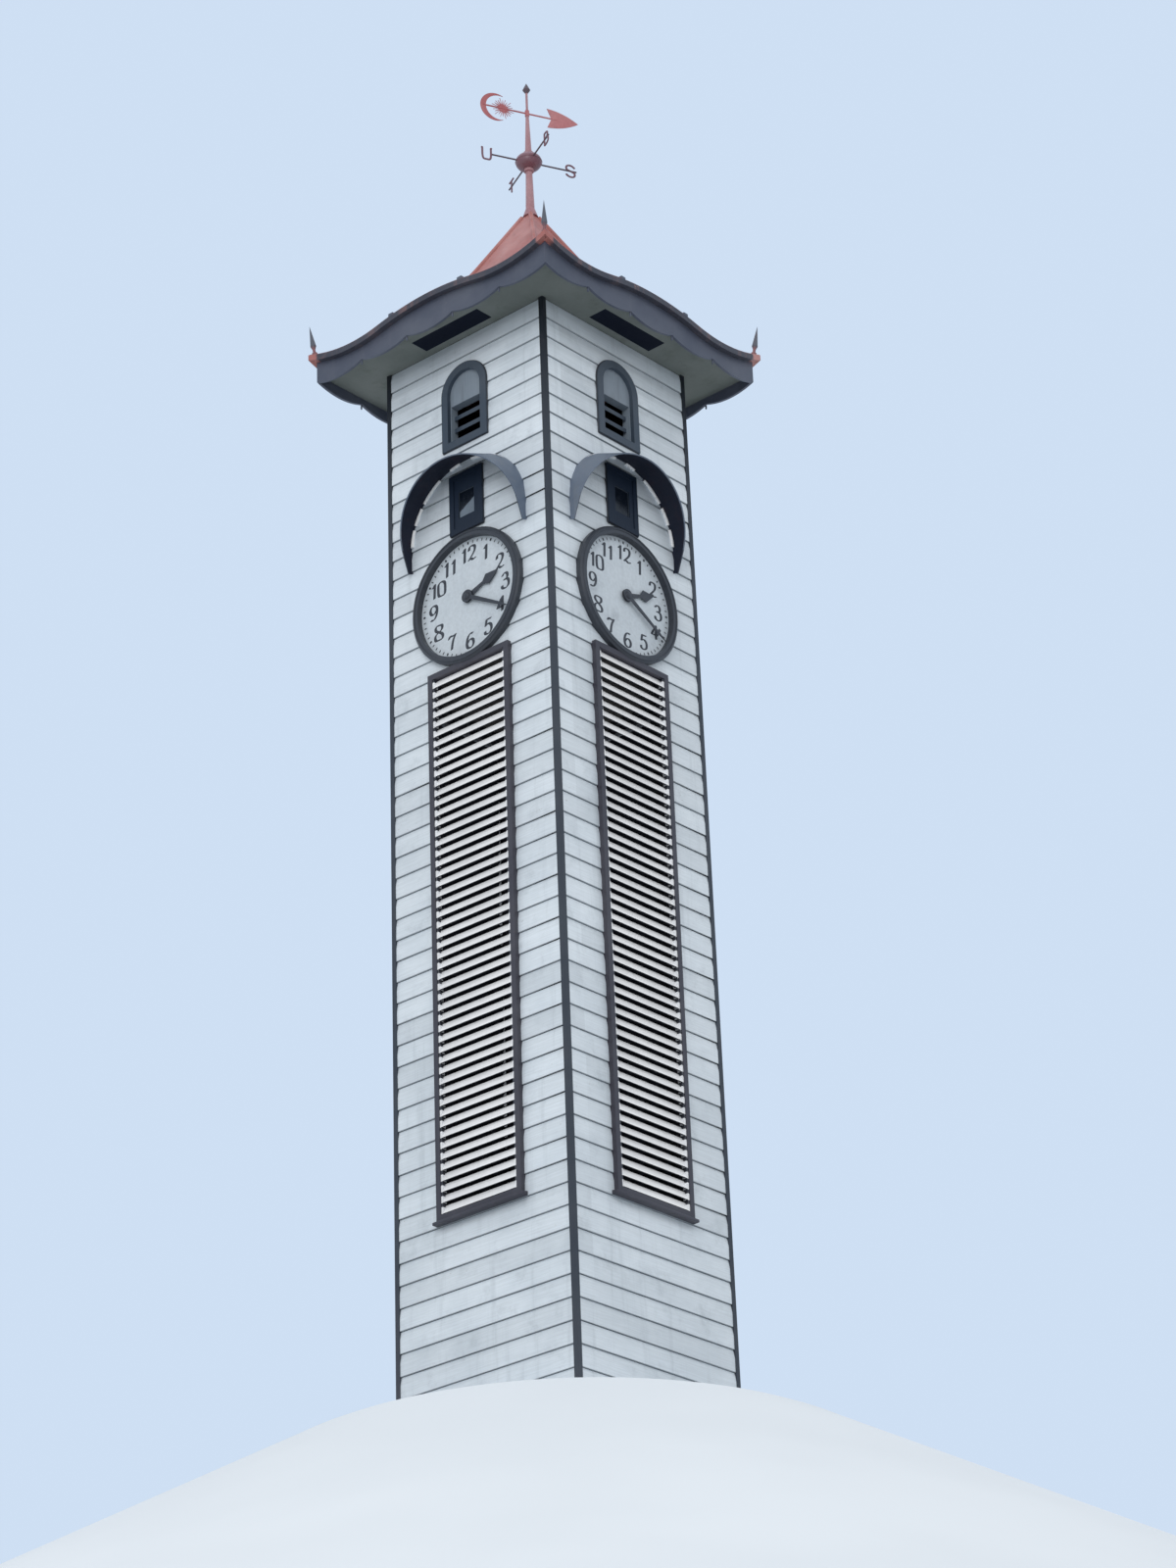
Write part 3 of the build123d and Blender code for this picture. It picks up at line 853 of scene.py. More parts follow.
@dataclass(frozen=True)
class RoofPaint(Paint):
    """Roof paint whose upright lip is slate, apart from the eaves' corners."""

    lip: Colour = (0.046, 0.048, 0.066)
    lip_from: float = 1.6905
    corner_from: float = 1.46
    corner_to: float = 1.68

    def clean(self, w: Wiring, place: Socket) -> Socket:
        """The roof's colour.

        Args:
            w: The material's wiring.
            place: The Object coordinates.
        Returns:
            The colour.
        """
        x, y, _ = w.split(place)
        across = w.math("ABSOLUTE", x)
        deep = w.math("ABSOLUTE", y)
        upright = w.math("GREATER_THAN", w.math("MAXIMUM", across, deep), self.lip_from)
        corner = w.span(w.math("MINIMUM", across, deep), self.corner_from, self.corner_to)
        ragged = w.math("MULTIPLY", w.noise(place, scale=14.0, detail=4.0, rough=0.7), 0.5)
        share = w.span(w.math("ADD", corner, w.math("SUBTRACT", ragged, 0.25)), 0.35, 0.65, 1.0, 0.0)
        return w.blend(w.math("MULTIPLY", upright, share), rgba(self.colour), rgba(self.lip))


@dataclass(frozen=True)
class RisePaint(Paint):
    """Paint that changes to another colour above a height."""

    # The defaults are the ball's: its top painted lighter, as a painted highlight.
    top: Colour = (0.36, 0.20, 0.24)
    fade_from: float = 14.66
    fade_to: float = 14.74

    def clean(self, w: Wiring, place: Socket) -> Socket:
        """The colour at each height.

        Args:
            w: The material's wiring.
            place: The Object coordinates.
        Returns:
            The colour.
        """
        height = w.split(place)[2]
        ragged = w.math("MULTIPLY", w.noise(place, scale=20.0, detail=4.0, rough=0.7), 0.05)
        share = w.span(w.math("ADD", height, w.math("SUBTRACT", ragged, 0.025)), self.fade_from, self.fade_to)
        return w.blend(share, rgba(self.colour), rgba(self.top))


@dataclass(frozen=True)
class SlatPaint(Paint):
    """Slat paint with painted shade on the side battens, where they show between two slats."""

    # The painted shade on the battens between the slats.
    between: Colour = (0.030, 0.032, 0.042)
    batten_from: float = 0.4655
    gap_at: float = 2.422
    pitch: float = 0.11025
    gap_share: float = 0.38

    def clean(self, w: Wiring, place: Socket) -> Socket:
        """The slats' colour.

        Args:
            w: The material's wiring.
            place: The Object coordinates.
        Returns:
            The colour.
        """
        x, y, z = w.split(place)
        across = w.math("MINIMUM", w.math("ABSOLUTE", x), w.math("ABSOLUTE", y))
        share = w.math("FRACT", w.math("DIVIDE", w.math("SUBTRACT", z, self.gap_at), self.pitch))
        batten = w.math("GREATER_THAN", across, self.batten_from)
        # Painted shade: dark on the battens in the gaps between the slats.
        dark = w.math("MULTIPLY", batten, w.math("LESS_THAN", share, self.gap_share))
        return w.blend(dark, rgba(self.colour), rgba(self.between))


@dataclass(frozen=True)
class HoodPaint(Paint):
    """Hood paint that is near-black on the inner faces of the sheet's straight legs: dark paint, deepened as
    painted shade.
    """

    # Near-black inside: dark paint, deepened as painted shade.
    inner: Colour = (0.016, 0.019, 0.034)
    half: float = 0.794
    spring: float = 9.72
    fall: float = 0.41
    wall: float = 1.096

    def clean(self, w: Wiring, place: Socket) -> Socket:
        """The hood's colour.

        Args:
            w: The material's wiring.
            place: The Object coordinates.
        Returns:
            The colour.
        """
        x, y, z = w.split(place)
        across = w.math("MINIMUM", w.math("ABSOLUTE", x), w.math("ABSOLUTE", y))
        deep = w.math("MAXIMUM", w.math("ABSOLUTE", x), w.math("ABSOLUTE", y))
        level = w.math("ADD", z, w.math("MULTIPLY", w.math("SUBTRACT", deep, self.wall), self.fall))
        near = w.math("LESS_THAN", across, self.half)
        leg = w.math("MULTIPLY", near, w.math("LESS_THAN", level, self.spring))
        return w.blend(leg, rgba(self.colour), rgba(self.inner))


@dataclass(frozen=True)
class Glass(Finish):
    """Hatch glass, dark above a slanting line; below it on the front, a pale painted reflection, mottled by
    dust.
    """

    dark: Colour = (0.006, 0.010, 0.018)
    # The pale colour of the painted reflection on the front pane's lower part.
    film: Colour = (0.23, 0.29, 0.36)
    edge_at: float = 9.945
    slant: float = 0.55
    front_from: float = 0.9
    clear: float = 0.12
    bend: float = 1.45
    shine: float = 0.3

    def build(self) -> bpy.types.Material:
        """Builds the material.

        Returns:
            The material.
        """
        material, w, shader, place = start_material(self.name)
        x, y, z = w.split(place)
        ragged = w.math("MULTIPLY", w.noise(place, scale=30.0, detail=4.0, rough=0.6), 0.02)
        line = w.math("SUBTRACT", w.math("ADD", w.math("MULTIPLY", x, self.slant), self.edge_at), z)
        # Painted reflection: pale below the slanting line on the front pane, mottled by dust.
        reflecting = w.span(w.math("SUBTRACT", line, ragged), -0.012, 0.004)
        share = w.math("MULTIPLY", reflecting, w.math("LESS_THAN", y, -self.front_from))
        dust = w.span(w.noise(place, scale=9.0, detail=5.0, rough=0.7), 0.35, 0.8, 0.75, 1.0)
        colour = w.blend(w.math("MULTIPLY", share, dust), rgba(self.dark), rgba(self.film))
        w.feed(colour, shader.inputs["Base Color"])
        w.feed(w.span(dust, 0.75, 1.0, 0.12, 0.35), shader.inputs["Roughness"])
        shader.inputs["IOR"].default_value = self.bend
        shader.inputs["Specular IOR Level"].default_value = self.shine
        shader.inputs["Transmission Weight"].default_value = self.clear
        return material


@dataclass(frozen=True)
class Finishes:
    """Every finish on the tower."""

    boards: Paint = BoardPaint(
        "White Board Paint", (0.72, 0.80, 0.87), grime=(0.42, 0.48, 0.53), bare=(0.36, 0.34, 0.32),
        soiling=0.5, streaks=0.35, flaking=0.5, grain=Grain.LEVEL, relief=0.0015,
    )
    # Near-black on the walls as painted shade, so that the gaps between the slats look dark.
    wall_core: Paint = Paint(
        "Wall Sheathing Painted Shade", (0.022, 0.023, 0.028), grime=(0.03, 0.03, 0.035), bare=(0.05, 0.045, 0.04),
        rough=0.85, grain=Grain.LEVEL,
    )
    slats: Paint = SlatPaint(
        "White Slat Paint", (0.93, 0.95, 0.98), grime=(0.55, 0.58, 0.62), soiling=0.15, streaks=0.1,
        flaking=0.1, rough=0.42, grain=Grain.LEVEL,
    )
    # Near-black painted shade on the slats' hidden faces.
    slat_shade: Paint = Paint(
        "Painted Slat Shade", (0.016, 0.018, 0.026), grime=(0.03, 0.03, 0.04), rough=0.8, grain=Grain.LEVEL,
        shine=0.15,
    )
    window: Paint = Paint(
        "Slate Window Paint", (0.055, 0.076, 0.104), grime=(0.10, 0.12, 0.145), bare=(0.16, 0.15, 0.14),
        rough=0.45, fading=0.3, soiling=0.3, streaks=0.3, grain=Grain.UPRIGHT, shine=0.35,
    )
    corner: Paint = RisePaint(
        "Slate Corner Paint", (0.042, 0.052, 0.068), grime=(0.075, 0.070, 0.085), bare=(0.16, 0.11, 0.10),
        fading=0.3, soiling=0.3, streaks=0.4, grain=Grain.UPRIGHT, shine=0.35, top=(0.011, 0.015, 0.021),
        fade_from=9.4, fade_to=11.6,
    )
    letter: Paint = Paint(
        "Reddish Letter Paint", (0.20, 0.095, 0.125), grime=(0.20, 0.13, 0.16), bare=(0.36, 0.17, 0.15),
        rough=0.45, soiling=0.5, flaking=0.7,
    )
    slate: Paint = Paint(
        "Slate Trim Paint", (0.033, 0.046, 0.064), grime=(0.090, 0.105, 0.125), bare=(0.16, 0.15, 0.14),
        rough=0.45, fading=0.3, soiling=0.3, streaks=0.3, grain=Grain.UPRIGHT, shine=0.35,
    )
    plum: Paint = Paint(
        "Plum Trim Paint", (0.045, 0.042, 0.056), grime=(0.10, 0.10, 0.12), bare=(0.18, 0.09, 0.07),
        rough=0.45, fading=0.3, soiling=0.3, streaks=0.3, grain=Grain.UPRIGHT,
    )
    dial: Paint = Paint(
        "White Dial Enamel", (0.60, 0.67, 0.73), grime=(0.34, 0.38, 0.43), bare=(0.40, 0.37, 0.30),
        rough=0.35, coat=0.2, fading=0.1, soiling=0.55, streaks=0.25, flaking=0.3, relief=0.0006,
    )
    rim: Paint = Paint(
        "Slate Rim Paint", (0.032, 0.037, 0.048), grime=(0.09, 0.095, 0.11), bare=(0.18, 0.15, 0.13),
        rough=0.42, fading=0.25, soiling=0.3, relief=0.0008,
    )
    hand: Paint = Paint(
        "Black Hand Paint", (0.030, 0.034, 0.044), grime=(0.12, 0.12, 0.13), rough=0.4, soiling=0.3,
        relief=0.0005,
    )
    hood: Paint = HoodPaint(
        "Slate Hood Paint", (0.130, 0.165, 0.225), grime=(0.24, 0.25, 0.26), bare=(0.20, 0.10, 0.07),
        rough=0.42, fading=0.25, soiling=0.4, streaks=0.4, flaking=0.3, relief=0.002,
    )
    # Near-black inside the hoods: dark paint, deepened as painted shade.
    hood_lining: Paint = Paint(
        "Hood Lining", (0.014, 0.018, 0.034), grime=(0.050, 0.028, 0.036), bare=(0.16, 0.07, 0.06), rough=0.7,
        soiling=0.5, streaks=0.4, shine=0.2,
    )
    panel: Paint = Paint(
        "Pale Panel Paint", (0.235, 0.285, 0.34), grime=(0.14, 0.15, 0.16), soiling=0.4, streaks=0.4,
        grain=Grain.UPRIGHT,
    )
    # Darker than the soffit's own pale paint, as painted shade under the eaves.
    soffit: Paint = Paint(
        "Soffit Paint With Painted Shade", (0.160, 0.178, 0.165), grime=(0.095, 0.108, 0.088), rough=0.75, fading=0.25,
        soiling=0.6, streaks=0.0,
    )
    vent: Paint = Paint(
        "Vent Mesh", (0.005, 0.008, 0.018), grime=(0.012, 0.015, 0.025), rough=0.8, shine=0.12,
    )
    fascia: Paint = Paint(
        "Slate Fascia Paint", (0.082, 0.094, 0.132), grime=(0.13, 0.14, 0.18), bare=(0.25, 0.22, 0.21),
        rough=0.45, fading=0.3, soiling=0.35, streaks=0.35, grain=Grain.LEVEL,
    )
    roof: Paint = RoofPaint(
        "Salmon Roof Paint", (0.47, 0.190, 0.175), grime=(0.28, 0.155, 0.15), bare=(0.60, 0.40, 0.35),
        fading=0.35, soiling=0.5, streaks=0.5, flaking=0.8, relief=0.002,
    )
    # On the lip's underside: slate as painted shade, with the salmon roof paint at the eaves' corners.
    lip: Paint = RoofPaint(
        "Lip Salmon And Painted Shade", (0.42, 0.17, 0.15), grime=(0.20, 0.13, 0.13), bare=(0.20, 0.14, 0.16), fading=0.35,
        soiling=0.5, flaking=0.8, lip_from=0.0,
    )
    mast: Paint = Paint(
        "Salmon Mast Paint", (0.44, 0.235, 0.260), grime=(0.21, 0.15, 0.19), bare=(0.16, 0.13, 0.16),
        rough=0.42, fading=0.3, soiling=0.4, streaks=0.5, flaking=0.7,
    )
    roll: Paint = RoofPaint(
        "Salmon Roll Paint", (0.42, 0.17, 0.15), grime=(0.16, 0.10, 0.11), bare=(0.16, 0.13, 0.16),
        fading=0.4, soiling=0.6, streaks=0.4, flaking=1.0, lip=(0.17, 0.072, 0.082), lip_from=0.0,
    )
    # The ball's top is painted lighter and pinker, as a painted highlight.
    ball: Paint = RisePaint(
        "Maroon Ball Paint With Painted Highlight", (0.20, 0.080, 0.105), grime=(0.09, 0.05, 0.06), bare=(0.40, 0.22, 0.22),
        rough=0.35, coat=0.2, fading=0.4, soiling=0.4, flaking=0.6,
    )
    rod: Paint = Paint(
        "Dark Rod Paint", (0.110, 0.080, 0.100), grime=(0.20, 0.10, 0.11), bare=(0.36, 0.17, 0.15),
        rough=0.45, soiling=0.5, flaking=0.7,
    )
    glass: Glass = Glass("Glass With Painted Reflection")
    floor_boards: Paint = BoardPaint(
        "Floor Boards", (0.060, 0.055, 0.050), grime=(0.04, 0.04, 0.04), bare=(0.08, 0.07, 0.06), rough=0.8,
        grain=Grain.LEVEL,
    )
    slab: Paint = Paint("Slab Concrete", (0.22, 0.22, 0.21), rough=0.85, soiling=0.6, relief=0.003)
    blind: Paint = Paint(
        "Hatch Blind", (0.012, 0.015, 0.022), grime=(0.02, 0.025, 0.03), rough=0.7, shine=0.2,
    )
    hatch: Paint = Paint(
        "Navy Hatch Paint", (0.011, 0.020, 0.038), grime=(0.035, 0.050, 0.072), bare=(0.08, 0.08, 0.09),
        soiling=0.3, streaks=0.3, flaking=0.2, grain=Grain.UPRIGHT, shine=0.25,
    )
    vane: Paint = Paint(
        "Salmon Vane Paint", (0.50, 0.175, 0.185), grime=(0.26, 0.15, 0.18), bare=(0.20, 0.16, 0.20),
        rough=0.45, fading=0.3, soiling=0.35, flaking=0.6,
    )
    spike: Paint = RisePaint(
        "Spike Paint", (0.26, 0.11, 0.12), grime=(0.14, 0.09, 0.10), bare=(0.30, 0.20, 0.20), rough=0.45,
        soiling=0.4, flaking=0.7, top=(0.105, 0.115, 0.145), fade_from=12.27, fade_to=12.32,
    )
    # Painted light: near-white strips where light shows through the gap between each hood and the wall.
    sealant: Paint = Paint("Painted Gap Light", (0.96, 0.97, 0.98), grime=(0.7, 0.7, 0.7), soiling=0.1)

    def of_node(self, kind: str) -> Finish:
        """The finish that a kind of CAD node wears.

        Args:
            kind: The node's name without its side.
        Returns:
            The finish.
        """
        worn = {
            "wall": self.wall_core, "corner_boards": self.corner, "ground_floor": self.slab,
            "clock_room_floor": self.floor_boards, "louvre_frames": self.plum, "louvre_blades": self.slats,
            "dials": self.dial, "dial_rims": self.rim, "hour_hand": self.hand, "minute_hand": self.hand,
            "hoods": self.hood, "hatch_frames": self.hatch, "hatch_doors": self.hatch,
            "hatch_panes": self.glass, "window_frames": self.window, "window_panels": self.panel,
            "window_slats": self.window, "soffit": self.soffit, "soffit_vents": self.vent,
            "fascia": self.fascia, "roof": self.roof, "corner_spikes": self.spike, "mast": self.mast,
            "compass_ball": self.ball, "compass_arms": self.rod, "spindle": self.mast,
            "spindle_bud": self.rod, "vane": self.vane,
        }
        return worn[kind]


def dress_nodes(finishes: Finishes) -> None:
    """Gives each CAD node its finish.

    Args:
        finishes: The tower's finishes.
    """
    labels = tuple(side.label for side in Side)
    for name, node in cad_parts.items():
        finish = finishes.of_node(name.rsplit("_", 1)[0] if name.endswith(labels) else name)
        node.data.materials.clear()
        node.data.materials.append(finish.material())
        log.info("%s wears %s", name, finish.name)


# The parts of the tower

@dataclass
class SubAssembly:
    """A part of the tower that keeps its own new pieces."""

    shaft: Shaft
    finishes: Finishes
    pieces: list[Piece] = field(default_factory=list)

    def keep(self, piece: Piece, finish: Finish, slot: str, body: str = TOWER) -> Piece:
        """Dresses a finished piece and lets it ride.

        Args:
            piece: The piece, at the origin, unturned and unscaled.
            finish: Its finish.
            slot: The record's slot that the finish stands for; not used.
            body: The CAD body that it rides on.
        Returns:
            The piece.
        """
        piece.data.materials.clear()
        piece.data.materials.append(finish.material())
        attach(piece, body)
        self.pieces.append(piece)
        log.info("%s: %d faces, rides on %s", piece.name, len(piece.data.polygons), body)
        return piece

    def lay(self, drawn: Piece) -> Piece:
        """Lays a flat drawing's piece on the leaning front wall."""
        return move(drawn, self.shaft.face)

    def keep_round(self, drawn: Piece, finish: Finish, slot: str) -> None:
        """Lays a flat drawing's piece on every wall and keeps it."""
        self.keep(all_round(self.lay(drawn)), finish, slot)

    def square_bead(self, name: str, node: str, out: float, radius: float) -> Piece:
        """Rolls a bead round a square node of the flat drawing.

        Args:
            name: The bead's name.
            node: The CAD node's name.
            out: How far out from the wall the bead lies.
            radius: Its radius.
        Returns:
            The bead.
        """
        low, high = self.shaft.flat_box(node)
        ring = [(low.x, low.y), (low.x, high.y), (high.x, high.y), (high.x, low.y), (low.x, low.y)]
        return rolled(name, [Vector((x, y, out)) for x, y in ring], radius)


@dataclass
class Boarding(SubAssembly):
    """Level lap boards on the four walls, cut round what stands on them."""

    count: int = BOARD_COUNT
    butt: float = 0.019
    top_edge: float = 0.004
    lap_low: float = 0.57
    lap_high: float = 0.66
    lap_step: float = 0.0018
    corner_lap: float = 0.004
    jitter: float = 0.0011
    gap: float = 0.005
    under: float = 0.012
    cut_depth: float = 0.3
    round_corners: int = 96
    crease: float = 20

    def build(self) -> None:
        """Makes the boards of each side."""
        board = self.one_board()
        for side in Side:
            self.keep(self.boarded_wall(board, side), self.finishes.boards, "white_boards")
        bpy.data.objects.remove(board)

    @cached_property
    def pitch(self) -> float:
        """The height that each board shows."""
        return self.shaft.height / math.cos(self.shaft.lean) / self.count

    def one_board(self) -> Piece:
        """Makes the lowest board: thick at its lower edge, stepped back where the next one laps.

        Returns:
            The board, as a flat drawing.
        """
        half = self.shaft.base_half
        lap, top = self.pitch * self.lap_high, self.pitch
        board = start_block("board", (-half, 0, -self.butt), (half, top, self.butt))
        with editing(board, "VERT"):
            for share in (self.lap_low, self.lap_high):
                bpy.ops.mesh.select_all(action="SELECT")
                bpy.ops.mesh.bisect(plane_co=(0, self.pitch * share, 0), plane_no=(0, 1, 0))
            mesh = bmesh.from_edit_mesh(board.data)
            pick_points(mesh, lambda p: p.z > 0 and p.y > lap - TINY)
            bpy.ops.transform.translate(value=(0, 0, -self.lap_step))
            pick_points(mesh, lambda p: p.z > 0 and p.y > top - TINY)
            bpy.ops.transform.translate(value=(0, -self.gap, self.top_edge + self.lap_step - self.butt))
            pick_points(mesh, lambda p: p.z < 0)
            bpy.ops.transform.translate(value=(0, 0, self.butt))
            pick_points(mesh, lambda p: p.z < TINY and p.y > top - TINY)
            bpy.ops.transform.translate(value=(0, -self.gap, 0))
        return board

    def boarded_wall(self, board: Piece, side: Side) -> Piece:
        """Stacks the boards of one side, cuts them and lays them on the wall.

        Args:
            board: The lowest board.
            side: The side.
        Returns:
            The boards.
        """
        wall = copy_of(board, f"boards_{side.label}", Matrix.Identity(4))
        stack = wall.modifiers.new("Stack", "ARRAY")
        stack.count = self.count
        stack.use_relative_offset = False
        stack.use_constant_offset = True
        stack.constant_offset_displace = (0, self.pitch, 0)
        apply_all(wall)
        self.set_unevenly(wall, side)
        for cutter in self.cutters():
            cut_with(wall, cutter)
        self.trim_ends(wall)
        shade(wall, self.crease)
        return move(self.lay(wall), side.turn)

    def set_unevenly(self, wall: Piece, side: Side) -> None:
        """Moves each board's lower edge a little, as boards fixed by hand stand.

        Args:
            wall: The stacked boards.
            side: The side, which has its own draws.
        """
        dice = random.Random(side.value)
        shifts = [(dice.uniform(-1, 1), dice.uniform(-1, 1)) for _ in range(self.count + 1)]
        for point in wall.data.vertices:
            share = point.co.y / self.pitch
            number = int(share + 0.25)
            if point.co.z > self.butt - TINY and abs(share - round(share)) < 0.1:
                slope = shifts[number][1] * point.co.x
                point.co.y += self.jitter * (shifts[number][0] + slope) if number else 0.0
                point.co.z += self.jitter * shifts[number][1]
        wall.data.update()

    def cutters(self) -> Iterator[Piece]:
        """Makes the shapes of what stands on the wall, a little smaller so that the boards run under it.

        Yields:
            Each shape.
        """
        deep = self.cut_depth
        inset = Vector((self.under, self.under, 0))
        for node in ("louvre_frames", "hatch_frames"):
            low, high = self.shaft.flat_box(node)
            yield start_block("cutter", (*(low + inset).xy, -deep), (*(high - inset).xy, deep))
        low, high = self.shaft.flat_box("window_frames")
        half = (high.x - low.x) / 2
        spring = high.y - half
        yield start_block("cutter", (*(low + inset).xy, -deep), ((high - inset).x, spring, deep))
        rim_low, rim_high = self.shaft.flat_box("dial_rims")
        rounds = ((spring, half), ((rim_low.y + rim_high.y) / 2, (rim_high.y - rim_low.y) / 2))
        for centre, radius in rounds:
            clear_selection()
            bpy.ops.mesh.primitive_cylinder_add(
                vertices=self.round_corners, radius=radius - self.under, depth=2 * deep,
                location=(0, centre, 0),
            )
            yield settle("cutter")

    def trim_ends(self, wall: Piece) -> None:
        """Cuts the boards to the corner boards' leaning edges.

        Args:
            wall: The stacked boards.
        """
        lean = self.shaft.lean
        reach = self.corner_edge() + self.corner_lap
        with editing(wall):
            for hand in HANDS:
                bpy.ops.mesh.select_all(action="SELECT")
                normal = (hand * math.cos(lean), math.sin(lean), 0)
                bpy.ops.mesh.bisect(
                    plane_co=(hand * reach, 0, 0), plane_no=normal, clear_outer=True, use_fill=True
                )

    def corner_edge(self) -> float:
        """Measures how far from the middle a corner board's inner edge lies at the wall's foot.

        Returns:
            The distance.
        """
        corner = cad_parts["corner_boards"].data.vertices
        foot = [v.co for v in corner if v.co.z < TINY and v.co.y < -self.shaft.base_half - TINY]
        return min(abs(p.x) for p in foot)


@dataclass(frozen=True)
class Pen:
    """A broad pen that writes raised strokes."""

    half_broad: float = 0.0185
    half_thin: float = 0.0072
    angle: float = 18.0
    raised: float = 0.0030
    facets: int = 2
    steps: int = 5

    @cached_property
    def spread(self) -> Matrix:
        """The map that turns a round stroke into the broad pen's stroke."""
        turn = Matrix.Rotation(math.radians(self.angle), 4, "Z")
        return turn @ Matrix.Diagonal((self.half_broad / self.half_thin, 1, 1, 1)) @ turn.inverted()

    def stroke(self, name: str, points: Spots, size: tuple[float, float]) -> Piece:
        """Writes one smooth stroke.

        Args:
            name: The piece's name.
            points: The points that steer the stroke, in shares of the sign's width and height. A doubled
                point makes a corner.
            size: The sign's width and height.
        Returns:
            The stroke as a closed mesh that stands on the plane.
        """
        back = self.spread.inverted()
        route = [back @ Vector((x * size[0], y * size[1], 0)) for x, y in points]
        line = start_line(name, "NURBS", route, self.half_thin, self.facets)
        line.data.splines[0].order_u = 3
        line.data.splines[0].use_endpoint_u = True
        line.data.resolution_u = self.steps
        rise = Matrix.Diagonal((1, 1, self.raised / self.half_thin, 1))
        return move(mesh_of(line, name), rise @ self.spread)


FIGURE_STROKES = {
    "0": [[(0.30, 0.98), (0.03, 0.96), (0.00, 0.50), (0.03, 0.02), (0.30, 0.02), (0.57, 0.02), (0.60, 0.50),
           (0.57, 0.96), (0.30, 0.98)]],
    "1": [[(0.10, 0.76), (0.22, 0.84), (0.32, 0.98), (0.32, 0.98), (0.27, 0.02)]],
    "2": [[(0.07, 0.70), (0.06, 0.94), (0.32, 1.02), (0.58, 0.92), (0.54, 0.58), (0.30, 0.32), (0.04, 0.06),
           (0.04, 0.06), (0.24, 0.16), (0.40, -0.02), (0.62, 0.12)]],
    "3": [[(0.08, 0.82), (0.18, 1.02), (0.50, 0.98), (0.52, 0.62), (0.22, 0.56), (0.22, 0.56), (0.58, 0.56),
           (0.62, 0.14), (0.36, -0.06), (0.02, 0.02), (0.05, 0.20)]],
    "4": [[(0.42, 0.02), (0.46, 0.98), (0.46, 0.98), (0.02, 0.30), (0.02, 0.30), (0.60, 0.32)]],
    "5": [[(0.58, 0.96), (0.20, 0.95), (0.20, 0.95), (0.12, 0.56), (0.12, 0.56), (0.36, 0.70), (0.60, 0.50),
           (0.58, 0.12), (0.30, -0.05), (0.02, 0.04), (0.07, 0.20)]],
    "6": [[(0.54, 0.90), (0.34, 1.00), (0.08, 0.72), (0.00, 0.30), (0.10, -0.02), (0.48, -0.02), (0.62, 0.28),
           (0.50, 0.56), (0.20, 0.56), (0.06, 0.30)]],
    "7": [[(0.04, 0.78), (0.08, 1.00), (0.32, 0.90), (0.58, 0.98), (0.58, 0.98), (0.32, 0.54), (0.26, 0.02)]],
    "8": [[(0.30, 0.54), (0.00, 0.66), (0.04, 1.00), (0.32, 1.00), (0.60, 0.98), (0.58, 0.66), (0.30, 0.54),
           (-0.04, 0.38), (0.00, 0.00), (0.30, 0.00), (0.62, 0.00), (0.64, 0.38), (0.30, 0.54)]],
    "9": [[(0.06, 0.10), (0.26, 0.00), (0.52, 0.28), (0.60, 0.70), (0.50, 1.02), (0.12, 1.02), (-0.02, 0.72),
           (0.10, 0.44), (0.40, 0.44), (0.54, 0.70)]],
}


